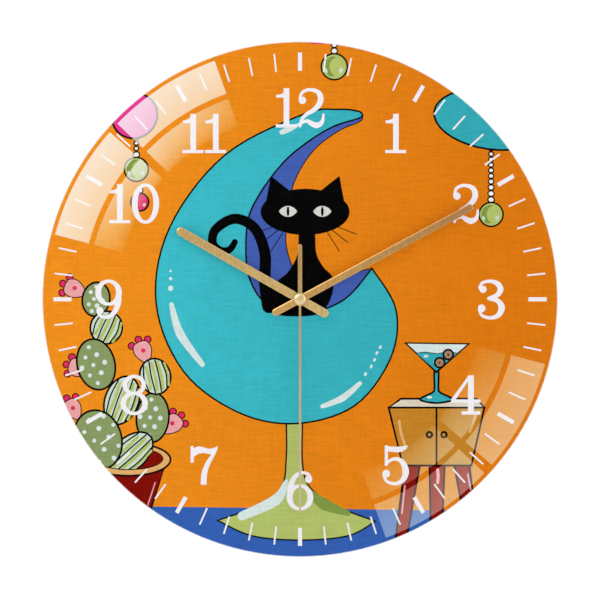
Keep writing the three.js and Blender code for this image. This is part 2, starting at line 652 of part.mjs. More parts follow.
// The knob has a notched rim and a slot across its face for a coin or a screwdriver.
function settingKnob() {
  const { radius, face, top, notches, notchDepth } = KNOB;
  const { end, half, depth } = KNOB_SLOT;
  const rim = (k) => polar(HANDS_AXIS, radius - (k % 2) * notchDepth, (k * Math.PI) / notches);
  const grip = new THREE.Shape(Array.from({ length: 2 * notches }, (_, k) => rim(k)));
  const slot = block([-end, end], [-half, half], [face - 1, face + depth]);
  return cut(extruded(grip, [face, top]), slot);
}

function hourWork(parent) {
  const direction = REVERSE_DIRECTION + Math.PI;
  const phase = meshedPhase(0, HOUR_MESH.leaves, HOUR_MESH.teeth, direction);
  const pipeSpan = [CANNON_PINION[1] + STACK_GAP, HOUR_LEVEL[1] + BOND_GAP];
  const wheel = joined(
    toothedWheel(HOUR_MESH, HOUR_WHEEL, phase, BORE.hour),
    ring(BORE.hour, HOUR_PIPE, pipeSpan, SHAFT_SIDES),
  );
  add(parent, "hour_wheel", wheel, brass);
  add(parent, "hour_washer", ring(HOUR_PIPE + RUNNING_GAP, 4.2, HOUR_WASHER, SHAFT_SIDES), steel);
}

function buildTrain(parent) {
  rotor(parent);
  intermediateWheel(parent);
  secondWheel(parent);
  thirdWheel(parent);
  minuteWork(parent);
  reverseWork(parent);
  hourWork(parent);
}

// ---------------------------------------------------------------- hands

// A straight bar with round ends, pointing up before it is turned to its angle.
function barShape(reach, tail, width) {
  const half = width / 2;
  const shape = new THREE.Shape();
  shape.absarc(0, reach - half, half, 0, Math.PI);
  shape.absarc(0, half - tail, half, Math.PI, 2 * Math.PI);
  return shape;
}

function pipedHand({ reach, tail, width }, level, pipeRadius, hubRadius) {
  const bar = extruded(barShape(reach, tail, width), level, 8);
  const hub = disc(hubRadius, level);
  const bore = disc(pipeRadius + BOND_GAP, [level[0] - 1, level[1] + 1], SHAFT_SIDES);
  return cut(joined(bar, hub), bore);
}

function secondHand() {
  const { reach, tail, width, tailWidth } = SECOND_HAND;
  const lap = 2;
  const pointer = extruded(barShape(reach, lap, width), SECOND_LEVEL, 6);
  const counterweight = extruded(barShape(lap, tail, tailWidth), SECOND_LEVEL, 6);
  const tubeSpan = [SECOND_LEVEL[0] - 0.7, SECOND_LEVEL[0] + BOND_GAP];
  const tube = ring(SECOND_ARBOR + BOND_GAP, 1, tubeSpan, SHAFT_SIDES);
  return joined(pointer, counterweight, tube);
}

function handCap() {
  const [bottom, top] = CAP;
  const shoulder = bottom + CAP_HEIGHT / 3;
  const profile = [[0, bottom], [CAP_RADIUS, bottom], [CAP_RADIUS, shoulder]];
  const steps = 4;
  for (let k = 1; k < steps; k += 1) {
    const turn = (k / steps) * (Math.PI / 2);
    profile.push([CAP_RADIUS * Math.cos(turn), shoulder + (top - shoulder) * Math.sin(turn)]);
  }
  return turned([...profile, [0, top]]);
}

function buildHands(parent) {
  const hour = pipedHand(HOUR_HAND, HOUR_LEVEL, HOUR_PIPE, CAP_RADIUS - 0.1);
  add(handGroup(parent, HOUR_HAND.angle), "hour_hand", hour, lightGold);
  const minute = pipedHand(MINUTE_HAND, MINUTE_LEVEL, MINUTE_PIPE, MINUTE_HUB);
  add(handGroup(parent, MINUTE_HAND.angle), "minute_hand", minute, deepGold);
  const second = handGroup(parent, SECOND_HAND.angle);
  add(second, "second_hand", secondHand(), paleGold);
  add(second, "hand_cap", handCap(), paleGold);
}

// ---------------------------------------------------------------- assembly

function add(parent, name, geometry, finish) {
  const piece = new THREE.Mesh(geometry, finish);
  piece.name = name;
  parent.add(piece);
}

function axisGroup(parent, axis) {
  const group = new THREE.Group();
  group.position.set(axis.x, axis.y, 0);
  parent.add(group);
  return group;
}

function handGroup(parent, clockwiseDegrees) {
  const group = new THREE.Group();
  group.rotation.z = -THREE.MathUtils.degToRad(clockwiseDegrees);
  parent.add(group);
  return group;
}

const clock = new THREE.Group();
clock.rotation.x = Math.PI / 2;
buildDial(clock);
buildHousing(clock);
buildElectrics(clock);
buildTrain(clock);
buildHands(clock);

export default clock;
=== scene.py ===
"""Looks of a frameless round wall clock: a printed picture under a clear front, and gold hands.

The picture is drawn in dial units: one unit is a 150th of the dial's radius, X to the right and Z up from the
hands' axis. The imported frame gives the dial's radius, the heights of the layers and the places of the hands.
"""

import json
import math

import bmesh
import bpy
import numpy as np
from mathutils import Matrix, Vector
from mathutils.geometry import delaunay_2d_cdt


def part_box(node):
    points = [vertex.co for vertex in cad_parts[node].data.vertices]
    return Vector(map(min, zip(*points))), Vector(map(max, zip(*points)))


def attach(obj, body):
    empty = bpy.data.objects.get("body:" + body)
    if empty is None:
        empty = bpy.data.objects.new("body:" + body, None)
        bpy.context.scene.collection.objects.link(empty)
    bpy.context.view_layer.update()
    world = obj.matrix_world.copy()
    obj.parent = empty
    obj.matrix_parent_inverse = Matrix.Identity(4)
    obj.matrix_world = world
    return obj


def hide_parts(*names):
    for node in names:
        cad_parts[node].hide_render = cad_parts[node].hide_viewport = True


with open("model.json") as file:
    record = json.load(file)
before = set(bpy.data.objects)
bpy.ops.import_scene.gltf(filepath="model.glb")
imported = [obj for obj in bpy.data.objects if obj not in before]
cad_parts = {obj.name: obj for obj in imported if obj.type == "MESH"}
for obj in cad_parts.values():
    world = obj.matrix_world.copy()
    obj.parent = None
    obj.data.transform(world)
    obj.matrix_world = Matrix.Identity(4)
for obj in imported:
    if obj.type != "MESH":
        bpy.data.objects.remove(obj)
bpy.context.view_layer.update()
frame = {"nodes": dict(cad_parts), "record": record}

# ---------------------------------------------------------------- sizes from the frame

lens_low, lens_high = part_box("front_lens")
sheet_low, sheet_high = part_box("artwork_sheet")
board_low, board_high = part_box("dial_board")
cover_low, cover_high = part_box("back_cover")
knob_low, knob_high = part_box("setting_knob")
cell_low, cell_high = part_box("battery")
cap_low, cap_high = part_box("hand_cap")

UNIT = (lens_high.x - lens_low.x) / 300
DIAL = 150
PRINT_RADIUS = lens_high.x / UNIT - 0.05
GAMMA = 2.2
PIPE_HOLE = 3.2
INK_BACK = sheet_low.y - 0.01 * UNIT
INK_FRONT = sheet_low.y - 0.08 * UNIT
# The level of the glowing films that paint the window reflection, just in front of the picture.
SHEEN_LEVEL = sheet_low.y - 0.09 * UNIT

# The share of the light that passes each of the two faces of the clear front.
CLEARNESS = 0.972

# Printed marks, in dial units.
TICK_INNER, TICK_OUTER = 133.3, 143.9
NUMERAL_RING = 111.7
NUMERAL_HEIGHT = 22.9
LINE = 1.15

PALETTE = {
    "orange": (0.925, 0.560, 0.108),
    "floor_blue": (0.203, 0.373, 0.690),
    "turquoise": (0.245, 0.745, 0.795),
    "inner_blue": (0.265, 0.370, 0.690),
    "pale_dab": (0.830, 0.890, 0.880),
    "chalk": (0.940, 0.930, 0.930),
    "lime": (0.695, 0.755, 0.420),
    "lime_shade": (0.500, 0.600, 0.270),
    "black": (0.012, 0.010, 0.012),
    "line": (0.060, 0.030, 0.030),
    "eye": (0.840, 0.840, 0.820),
    "cactus": (0.535, 0.605, 0.390),
    "cactus_pale": (0.790, 0.850, 0.790),
    "pink": (0.905, 0.640, 0.645),
    "rose": (0.880, 0.230, 0.580),
    "magenta": (0.860, 0.180, 0.380),
    "pot_red": (0.505, 0.050, 0.010),
    "tan": (0.880, 0.680, 0.420),
    "ochre": (0.765, 0.515, 0.150),
    "cream": (0.860, 0.820, 0.740),
    "olive": (0.640, 0.500, 0.400),
}

# Painted shade: the paint colours at the right of the picture, where the light falls off towards the right.
PALETTE_SHADED_RIGHT = {"orange": (0.862, 0.478, 0.060), "turquoise": (0.200, 0.655, 0.700)}

# ---------------------------------------------------------------- outlines on the dial


def arc(cx, cz, rx, rz, start, end, steps=16):
    """Points of an ellipse's arc, anticlockwise from +X, in degrees."""
    turns = [math.radians(start + (end - start) * k / steps) for k in range(steps + 1)]
    return [(cx + rx * math.cos(t), cz + rz * math.sin(t)) for t in turns]


def ellipse(cx, cz, rx, rz=None, tilt=0, steps=36):
    """A whole ellipse, turned clockwise by tilt degrees about its centre."""
    return turned(arc(cx, cz, rx, rz or rx, 0, 360, steps)[:-1], tilt, cx, cz)


def turned(points, degrees, cx=0, cz=0):
    """Points turned clockwise about a centre."""
    c, s = math.cos(math.radians(degrees)), math.sin(math.radians(degrees))
    return [(cx + (x - cx) * c + (z - cz) * s, cz - (x - cx) * s + (z - cz) * c) for x, z in points]


def spline(points, closed=False, steps=7):
    """A Catmull-Rom curve through a few points."""
    count = len(points)
    spans = count if closed else count - 1
    pick = (lambda k: points[k % count]) if closed else (lambda k: points[min(max(k, 0), count - 1)])
    found = []
    for k in range(spans):
        p0, p1, p2, p3 = (Vector(pick(k + j)) for j in (-1, 0, 1, 2))
        for step in range(steps):
            t = step / steps
            a = 2 * p1 + (p2 - p0) * t
            b = (2 * p0 - 5 * p1 + 4 * p2 - p3) * t * t
            c = (3 * p1 - p0 - 3 * p2 + p3) * t * t * t
            found.append(tuple((a + b + c) / 2))
    return found if closed else found + [tuple(points[-1])]


def area(outline):
    return sum(x0 * z1 - x1 * z0 for (x0, z0), (x1, z1) in zip(outline, outline[1:] + outline[:1])) / 2


def grown(outline, by):
    """The outline moved outwards by a distance, or inwards if it is negative."""
    if area(outline) < 0:
        outline = outline[::-1]
    moved = []
    for k, here in enumerate(outline):
        before, after = Vector(outline[k - 1]), Vector(outline[(k + 1) % len(outline)])
        into, away = (Vector(here) - before).normalized(), (after - Vector(here)).normalized()
        normal = Vector((into.y + away.y, -into.x - away.x))
        if normal.length < 1e-6:
            normal = Vector((into.y, -into.x))
        normal.normalize()
        stretch = 1 / max(0.5, normal.dot(Vector((into.y, -into.x))))
        moved.append(tuple(Vector(here) + normal * by * stretch))
    return moved


def stroke(points, widths):
    """The outline of a brush line along some points, with round ends. Widths may change along it."""
    if not isinstance(widths, (list, tuple)):
        widths = [widths] * len(points)
    count = len(points)
    left, right = [], []
    for k, point in enumerate(points):
        ahead = Vector(points[min(k + 1, count - 1)]) - Vector(points[max(k - 1, 0)])
        side = Vector((-ahead.y, ahead.x)).normalized() * widths[k] / 2
        left.append(tuple(Vector(point) + side))
        right.append(tuple(Vector(point) - side))

    def round_end(point, towards, width):
        angle = math.degrees(math.atan2(towards[1] - point[1], towards[0] - point[0]))
        return arc(point[0], point[1], width / 2, width / 2, angle, angle + 180, 6)[1:-1]

    return left[::-1] + round_end(points[0], left[0], widths[0]) + right + round_end(
        points[-1], right[-1], widths[-1])


def brush(points, widths):
    """A stroke along a smooth curve through a few points, with a width given at each of them."""
    per = 6
    path = spline(points, steps=per)
    if not isinstance(widths, (list, tuple)):
        return stroke(path, widths)
    smooth = []
    for first, second in zip(widths, widths[1:]):
        smooth += [first + (second - first) * step / per for step in range(per)]
    return stroke(path, smooth + [widths[-1]])


def bar(x0, x1, z0, z1):
    return [(x0, z0), (x1, z0), (x1, z1), (x0, z1)]


def outlined(colour, outline, width=LINE):
    """A painted shape with a dark line round it."""
    return [("line", grown(outline, width / 2)), (colour, grown(outline, -width / 2))]


# ---------------------------------------------------------------- flat pieces from outlines

INK, HOLE = "ink", "hole"


def partition(layers):
    """Cuts the plane along every outline and gives each triangle to the last layer that covers it.

    The first layer is the ground, and nothing is kept outside it. The colour HOLE keeps nothing.
    Returns the points, and for each colour its triangles."""
    points, edges = [], []
    for _, outline in layers:
        start, count = len(points), len(outline)
        points += [Vector(p) for p in outline]
        edges += [(start + k, start + (k + 1) % count) for k in range(count)]
    vertices, _, triangles, _, _, _ = delaunay_2d_cdt(points, edges, [], 0, 1e-4)
    corners = np.array([tuple(v) for v in vertices])
    faces = np.array(triangles)
    middles = corners[faces].mean(axis=1)
    owner = np.full(len(faces), -1)
    for number, (_, outline) in enumerate(layers):
        owner[covered(middles, np.array(outline)) & ((owner >= 0) | (number == 0))] = number
    by_colour = {}
    for face, number in zip(faces.tolist(), owner.tolist()):
        colour = layers[number][0] if number >= 0 else HOLE
        if colour != HOLE:
            by_colour.setdefault(colour, []).append(face)
    return corners.tolist(), by_colour


def covered(places, outline):
    """Which of the places lie inside an outline, by counting how often it winds round them."""
    near = np.all((places >= outline.min(axis=0)) & (places <= outline.max(axis=0)), axis=1)
    wound = np.zeros(len(places), dtype=int)
    x, z = places[near].T
    winds = np.zeros(len(x), dtype=int)
    for (x0, z0), (x1, z1) in zip(outline, np.roll(outline, -1, axis=0)):
        side = (x1 - x0) * (z - z0) - (x - x0) * (z1 - z0)
        winds += (z0 <= z) & (z1 > z) & (side > 0)
        winds -= (z1 <= z) & (z0 > z) & (side < 0)
    wound[near] = winds
    return wound != 0


def plate(name, points, triangles, back, front):
    """A closed flat piece: the triangles at the front, again at the back, and walls round every edge."""
    used = sorted({v for triangle in triangles for v in triangle})
    place = {v: k for k, v in enumerate(used)}
    count = len(used)
    corners = [(points[v][0] * UNIT, front, points[v][1] * UNIT) for v in used]
    corners += [(x, back, z) for x, _, z in corners]
    faces, edges = [], set()
    for triangle in triangles:
        a, b, c = (place[v] for v in triangle)
        faces += [(a, b, c), (c + count, b + count, a + count)]
        edges |= {(a, b), (b, c), (c, a)}
    walls = [(b, a, a + count, b + count) for a, b in edges if (b, a) not in edges]
    return mesh_object(name, corners, faces + sorted(walls))


def mesh_object(name, corners, faces):
    mesh = bpy.data.meshes.new(name)
    mesh.from_pydata(corners, [], faces)
    mesh.validate()
    piece = bpy.data.objects.new(name, mesh)
    bpy.context.scene.collection.objects.link(piece)
    return piece


def lathe(name, profile, sides, sharp=35):
    """A closed solid of revolution about the Y axis, smooth but for edges sharper than an angle in degrees.

    The profile is a closed loop of (radius, y) points."""
    corners, rings = [], []
    for radius, y in profile:
        if radius == 0:
            rings.append([len(corners)] * sides)
            corners.append((0, y, 0))
            continue
        rings.append(list(range(len(corners), len(corners) + sides)))
        for k in range(sides):
            turn = 2 * math.pi * k / sides
            corners.append((radius * math.sin(turn), y, radius * math.cos(turn)))
    faces = []
    for low, high in zip(rings, rings[1:] + rings[:1]):
        for k in range(sides):
            after = (k + 1) % sides
            loop = list(dict.fromkeys([low[k], high[k], high[after], low[after]]))
            if len(loop) > 2:
                faces.append(loop)
    piece = mesh_object(name, corners, faces)
    face_outwards(piece)
    smooth_by_angle(piece, sharp)
    return piece


def face_outwards(piece, merge=0):
    """Turns every face outwards, after joining corners that lie within a distance of each other."""
    work = bmesh.new()
    work.from_mesh(piece.data)
    if merge:
        bmesh.ops.remove_doubles(work, verts=work.verts, dist=merge)
    bmesh.ops.recalc_face_normals(work, faces=work.faces)
    work.to_mesh(piece.data)
    work.free()


def smooth_by_angle(piece, degrees):
    for polygon in piece.data.polygons:
        polygon.use_smooth = True
    piece.data.set_sharp_from_angle(angle=math.radians(degrees))


def soft_edges(piece, width):
    """Rounds a moulded or stamped piece's sharp edges."""
    bevel = piece.modifiers.new("soft_edges", "BEVEL")
    bevel.width = width
    bevel.segments = 2
    bevel.limit_method = "ANGLE"
    bevel.angle_limit = math.radians(40)
    bevel.harden_normals = False


def finish_piece(piece, body, material, stands_for=()):
    """Gives a piece its material, its body and the CAD nodes it is shown in place of."""
    piece.data.materials.clear()
    piece.data.materials.append(material)
    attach(piece, body)
    if stands_for:
        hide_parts(*stands_for)


def printed(name, marks, level, material):
    """One closed flat piece on the dial or the case. Marks are outlines of ink or of holes in it."""
    points, found = partition([(HOLE, bar(-DIAL, DIAL, -DIAL, DIAL))] + marks)
    piece = plate(name, points, found[INK], *level)
    finish_piece(piece, "movement", material)


# ---------------------------------------------------------------- materials


def linear(colour):
    return tuple(c / 12.92 if c <= 0.04045 else ((c + 0.055) / 1.055) ** 2.4 for c in colour) + (1,)


def scaled(colour, by):
    return tuple(min(1, c * by) for c in colour[:3]) + (1,)


def spread(colour, by):
    """A linear colour made darker and lighter by the same share."""
    return [scaled(colour, 1 - by), scaled(colour, 1 + by)]


class Nodes:
    """Adds nodes to a material or a world. A value may be a number, a colour or another node's output."""

    # Places of the colour mixer's sockets among its inputs and outputs.
    MIX_FACTOR, MIX_FIRST, MIX_SECOND, MIX_RESULT = 0, 6, 7, 2

    def __init__(self, owner):
        owner.use_nodes = True
        self.owner = owner
        self.tree = owner.node_tree
        self.place = self.add("TexCoord").outputs["Object"]

    def fill(self, node, values):
        for key, value in values.items():
            if isinstance(value, bpy.types.NodeSocket):
                self.tree.links.new(value, node.inputs[key])
            else:
                node.inputs[key].default_value = value

    def add(self, kind, values=None, **settings):
        node = self.tree.nodes.new("ShaderNode" + kind)
        for key, value in settings.items():
            setattr(node, key, value)
        self.fill(node, values or {})
        return node

    def surface(self, colour, roughness, **values):
        """Sets the standard shader. Other inputs are given by name, with _ for each space."""
        named = {key.replace("_", " "): value for key, value in values.items()}
        named.update({"Base Color": colour, "Roughness": roughness})
        self.fill(self.tree.nodes["Principled BSDF"], named)

    def own_surface(self, output):
        """Shows another shader in place of the standard one."""
        self.tree.nodes.remove(self.tree.nodes["Principled BSDF"])
        self.fill(self.tree.nodes["Material Output"], {"Surface": output})

    def mapped(self, scale, rotation=(0, 0, 0)):
        values = {"Vector": self.place, "Scale": scale, "Rotation": rotation}
        return self.add("Mapping", values).outputs["Vector"]

    def along(self, axis, vector=None):
        """One coordinate of a vector, or of the place on the object."""
        return self.add("SeparateXYZ", {"Vector": vector or self.place}).outputs[axis]

    def noise(self, vector, scale, detail=3, roughness=0.55):
        values = {"Vector": vector, "Scale": scale, "Detail": detail, "Roughness": roughness}
        return self.add("TexNoise", values).outputs["Fac"]

    def waves(self, axis, scale, distortion=0.0):
        values = {"Vector": self.place, "Scale": scale, "Distortion": distortion}
        return self.add("TexWave", values, wave_type="BANDS", bands_direction=axis).outputs["Fac"]

    def ranged(self, value, low, high, from_low=0.0, from_high=1.0):
        values = {"Value": value, "To Min": low, "To Max": high, "From Min": from_low, "From Max": from_high}
        return self.add("MapRange", values).outputs["Result"]

    def maths(self, operation, first, second):
        return self.add("Math", {0: first, 1: second}, operation=operation).outputs["Value"]

    def total(self, parts):
        """The sum of some values, each with its weight."""
        found = None
        for value, weight in parts:
            part = self.maths("MULTIPLY", value, weight)
            found = part if found is None else self.maths("ADD", found, part)
        return found

    def mixed(self, factor, first, second):
        values = {self.MIX_FACTOR: factor, self.MIX_FIRST: first, self.MIX_SECOND: second}
        return self.add("Mix", values, data_type="RGBA").outputs[self.MIX_RESULT]

    def bump(self, height, strength, distance):
        node = self.add("Bump", {"Height": height, "Strength": strength, "Distance": distance})
        self.fill(self.tree.nodes["Principled BSDF"], {"Normal": node.outputs["Normal"]})


def material_nodes(name):
    return Nodes(bpy.data.materials.new(name))


PAINT_SPREAD = 0.11


def painted(name, colour, shaded_colour_right=None):
    """Brushed paint on canvas: level brush marks, a fine weave, and, where a right-hand colour is given,
    painted shade that darkens the paint towards the right.
    """
    nodes = material_nodes(name)
    strokes = nodes.noise(nodes.mapped((30, 30, 260)), 1.6, 4)
    blotches = nodes.noise(nodes.place, 26, 3)
    level_threads = nodes.noise(nodes.mapped((90, 90, 1000)), 1, 2)
    upright_threads = nodes.noise(nodes.mapped((1000, 1000, 90)), 1, 2)
    tone = nodes.total(((strokes, 0.15), (blotches, 0.15), (level_threads, 0.45), (upright_threads, 0.25)))
    tone = nodes.ranged(tone, 0, 1, 0.36, 0.64)
    shades = spread(linear(colour), PAINT_SPREAD)
    if shaded_colour_right:
        # Painted shade: the paint darkens from left to right, as the light falls off across the picture.
        across = nodes.ranged(nodes.along("X"), 0, 1, -0.75 * DIAL * UNIT, 0.75 * DIAL * UNIT)
        right = spread(linear(shaded_colour_right), PAINT_SPREAD)
        shades = [nodes.mixed(across, *pair) for pair in zip(shades, right)]
    weave = [nodes.waves(axis, 1 / (4 * UNIT), 0.6) for axis in ("X", "Z")]
    nodes.surface(nodes.mixed(tone, *shades), 0.62, Specular_IOR_Level=0.03)
    nodes.bump(nodes.total(((weave[0], 0.5), (weave[1], 1), (strokes, 1.5))), 0.25, 0.03 * UNIT)
    return nodes.owner


def white_ink():
    nodes = material_nodes("white_ink")
    grain = nodes.noise(nodes.place, 900, 2)
    colour = nodes.mixed(grain, linear((0.925, 0.914, 0.932)), linear((0.955, 0.944, 0.962)))
    nodes.surface(colour, nodes.ranged(grain, 0.5, 0.62), Specular_IOR_Level=0.05)
    return nodes.owner


def clear_front():
    """Clear sheet that takes a little of the light and mirrors more of it towards grazing angles."""
    nodes = material_nodes("clear_front")
    clear = nodes.add("BsdfTransparent", {"Color": (CLEARNESS, CLEARNESS, CLEARNESS, 1)})
    haze = nodes.noise(nodes.place, 40, 2)
    mirror = nodes.add("BsdfGlossy", {"Roughness": nodes.ranged(haze, 0.01, 0.03)})
    facing = nodes.add("LayerWeight").outputs["Facing"]
    share = nodes.maths("MULTIPLY", nodes.maths("POWER", facing, 3.5), 0.8)
    mix = nodes.add("MixShader", {"Fac": share, 1: clear.outputs["BSDF"], 2: mirror.outputs["BSDF"]})
    nodes.own_surface(mix.outputs["Shader"])
    return nodes.owner


def brushed_metal(name, colour, clockwise=0, roughness=0.34, streak=0.12, far_painted_light_colour=None, span=(0, 1)):
    """Metal with fine lines along one direction, given clockwise from 12 o'clock.

    A second colour may be given for the far end of the span along that direction, as painted light: the piece
    is painted darker or paler there, standing in for how the light falls along it."""
    nodes = material_nodes(name)
    tilt = (0, -math.radians(clockwise), 0)
    lines = nodes.noise(nodes.mapped((2600, 2600, 30), tilt), 1, 3, 0.7)
    grain = nodes.noise(nodes.mapped((1500, 1500, 700), tilt), 1, 2)
    tone = nodes.ranged(nodes.total(((lines, 0.5), (grain, 0.5))), 0, 1, 0.3, 0.7)
    shades = spread(linear(colour), streak)
    if far_painted_light_colour:
        along = nodes.ranged(nodes.along("Z", nodes.mapped((1, 1, 1), tilt)), 0, 1, *span)
        shades = [nodes.mixed(along, *pair) for pair in zip(shades, spread(linear(far_painted_light_colour), streak))]
    gloss = nodes.ranged(lines, roughness - 0.07, roughness + 0.08)
    nodes.surface(nodes.mixed(tone, *shades), gloss, Metallic=1)
    nodes.bump(lines, 0.25, 0.02 * UNIT)
    return nodes.owner


def moulded(name, colour, roughness=0.5, grain=1500, depth=0.03):
    """Moulded plastic or rubber with a fine spark-eroded grain."""
    nodes = material_nodes(name)
    grains = nodes.noise(nodes.place, grain, 3, 0.6)
    cloud = nodes.noise(nodes.place, 60, 3)
    nodes.surface(nodes.mixed(cloud, *spread(linear(colour), 0.15)),
                  nodes.ranged(grains, roughness - 0.08, roughness + 0.1))
    nodes.bump(grains, 0.5, depth * UNIT)
    return nodes.owner


def laminated_board():
    """White melamine skin on fibreboard: a faint orange-peel surface and sparse specks."""
    nodes = material_nodes("laminated_board")
    peel = nodes.noise(nodes.place, 420, 3)
    specks = nodes.ranged(nodes.noise(nodes.place, 1400, 2, 0.7), 0, 0.7, 0.3, 0.75)
    tone = nodes.total(((specks, 1), (nodes.noise(nodes.place, 9, 3), 0.4)))
    colour = nodes.mixed(tone, linear((0.80, 0.795, 0.77)), linear((0.885, 0.88, 0.86)))
    nodes.surface(colour, nodes.ranged(peel, 0.42, 0.58))
    nodes.bump(peel, 0.3, 0.06 * UNIT)
    return nodes.owner


def winding_copper():
    """Enamelled wire laid in fine turns across the bobbin."""
    nodes = material_nodes("winding_copper")
    wire = nodes.waves("Z", 1 / (1.2 * math.pi * UNIT))
    base = linear((0.78, 0.42, 0.22))
    # Painted shade and highlight: half as bright in the grooves between turns, a little brighter on each
    # turn's crest, over a bump of the same bands.
    nodes.surface(nodes.mixed(wire, scaled(base, 0.5), scaled(base, 1.1)), 0.35, Metallic=0.9)
    nodes.bump(wire, 0.8, 0.08 * UNIT)
    return nodes.owner


def battery_film():
    """A plain printed jacket: steel ends, a dark body and one coloured band by the positive end."""
    nodes = material_nodes("battery_film")
    ramp = nodes.add("ValToRGB", {"Fac": nodes.ranged(nodes.along("X"), 0, 1, cell_low.x, cell_high.x)})
    ramp.color_ramp.interpolation = "CONSTANT"
    steel, shoulder = (0.70, 0.71, 0.73), 2.2 * UNIT / (cell_high.x - cell_low.x)
    stops = [(0, steel), (shoulder, (0.80, 0.47, 0.16)), (0.3, (0.88, 0.86, 0.80)),
             (0.325, (0.08, 0.13, 0.26)), (1 - 0.5 * shoulder, steel)]
    elements = ramp.color_ramp.elements
    while len(elements) < len(stops):
        elements.new(0.5)
    for element, (where, colour) in zip(elements, stops):
        element.position = where
        element.color = linear(colour)
    scuffs = nodes.noise(nodes.mapped((1, 6, 6)), 120, 3)
    nodes.surface(ramp.outputs["Color"], nodes.ranged(scuffs, 0.22, 0.38), Metallic=0.45)
    nodes.bump(scuffs, 0.2, 0.02 * UNIT)
    return nodes.owner


# ---------------------------------------------------------------- numerals

# Digits are drawn in a box one unit high, in an old-style schoolbook face: thick upright strokes, thinner
# level ones and round terminals.
THICK, THIN = 0.15, 0.082


def ink(*outlines):
    return [(INK, outline) for outline in outlines]


def bowl(cx, cz, rx, rz, thick=THICK, thin=THIN):
    return [(INK, ellipse(cx, cz, rx, rz)), (HOLE, ellipse(cx, cz, rx - thick, rz - thin))]


def digit_0():
    return 0.70, bowl(0.35, 0.5, 0.35, 0.515)


def digit_1():
    flag = [(0.345, 1), (0.275, 1), (0.25, 0.95), (0.19, 0.88), (0.12, 0.845), (0.01, 0.83), (0.01, 0.76),
            (0.2, 0.76)]
    return 0.535, ink(bar(0.2, 0.345, 0, 1), flag, bar(0, 0.535, 0, 0.08))


def digit_2():
    neck = [(0.04, 0.72), (0.09, 0.88), (0.22, 0.952), (0.34, 0.958), (0.47, 0.92), (0.55, 0.83),
            (0.568, 0.7), (0.51, 0.56), (0.37, 0.43), (0.2, 0.33), (0.09, 0.2), (0.045, 0.04)]
    widths = [0.07, 0.075, 0.085, 0.085, 0.11, 0.14, 0.15, 0.14, 0.11, 0.09, 0.08, 0.075]
    wave = [(0.09, 0.12), (0.22, 0.165), (0.34, 0.1), (0.46, 0.055), (0.57, 0.1), (0.625, 0.2),
            (0.638, 0.33)]
    swell = [0.06, 0.09, 0.13, 0.15, 0.12, 0.08, 0.055]
    return 0.66, ink(brush(neck, widths), ellipse(0.105, 0.69, 0.093), brush(wave, swell))


def digit_3():
    upper = [(0.045, 0.79), (0.12, 0.92), (0.32, 0.96), (0.5, 0.9), (0.58, 0.76), (0.5, 0.61),
             (0.28, 0.525)]
    lower = [(0.28, 0.515), (0.5, 0.465), (0.61, 0.295), (0.53, 0.1), (0.33, 0.027), (0.12, 0.08),
             (0.04, 0.22)]
    upper_widths = [0.065, 0.075, 0.085, 0.13, 0.155, 0.12, 0.08]
    lower_widths = [0.08, 0.12, 0.17, 0.13, 0.085, 0.075, 0.065]
    return 0.70, ink(brush(upper, upper_widths), ellipse(0.135, 0.755, 0.093),
                     brush(lower, lower_widths), ellipse(0.1, 0.27, 0.098))


def digit_4():
    slope = [(0.45, 1), (0, 0.385), (0, 0.31), (0.115, 0.385), (0.435, 0.855), (0.5, 0.95)]
    return 0.75, ink(bar(0.43, 0.58, 0, 1), bar(0.265, 0.75, 0, 0.085), bar(0, 0.75, 0.305, 0.387), slope)


def digit_5():
    arm = [(0.07, 1), (0.2, 0.975), (0.42, 0.968), (0.55, 0.98), (0.665, 1.005), (0.62, 0.91), (0.53, 0.85),
           (0.42, 0.825), (0.3, 0.83), (0.15, 0.85)]
    path = [(0.1, 0.51), (0.18, 0.6), (0.35, 0.66), (0.52, 0.575), (0.605, 0.34), (0.53, 0.12), (0.34, 0.027),
            (0.13, 0.08), (0.045, 0.23)]
    widths = [0.07, 0.075, 0.085, 0.13, 0.17, 0.13, 0.085, 0.075, 0.065]
    return 0.70, ink(arm, bar(0.07, 0.152, 0.5, 1), brush(path, widths), ellipse(0.108, 0.28, 0.098))


def digit_6():
    neck = [(0.085, 0.35), (0.1, 0.6), (0.2, 0.84), (0.38, 0.957), (0.55, 0.92), (0.622, 0.8)]
    widths = [0.14, 0.155, 0.12, 0.085, 0.075, 0.06]
    return 0.68, bowl(0.34, 0.33, 0.34, 0.335) + ink(brush(neck, widths), ellipse(0.56, 0.79, 0.093))


def digit_7():
    band = [(0.04, 0.88), (0.12, 0.95), (0.23, 0.98), (0.34, 0.955), (0.45, 0.915), (0.56, 0.925),
            (0.7, 0.985), (0.66, 0.86), (0.58, 0.76), (0.46, 0.785), (0.34, 0.81), (0.2, 0.79), (0.07, 0.7)]
    leg = [(0.655, 0.92), (0.56, 0.74), (0.44, 0.54), (0.355, 0.3), (0.335, 0.08)]
    return 0.70, ink(bar(0, 0.08, 0.56, 0.985), band, brush(leg, [0.07, 0.09, 0.12, 0.145, 0.15]),
                     bar(0.26, 0.41, 0, 0.1))


def digit_8():
    return 0.704, bowl(0.352, 0.755, 0.3, 0.262, 0.118, 0.088) + bowl(0.352, 0.285, 0.352, 0.3, 0.145, 0.085)


def digit_9():
    width, parts = digit_6()
    return width, [(kind, turned(outline, 180, width / 2, 0.5)) for kind, outline in parts]


DIGITS = [digit_0, digit_1, digit_2, digit_3, digit_4, digit_5, digit_6, digit_7, digit_8, digit_9]
DIGIT_GAP = 0.04


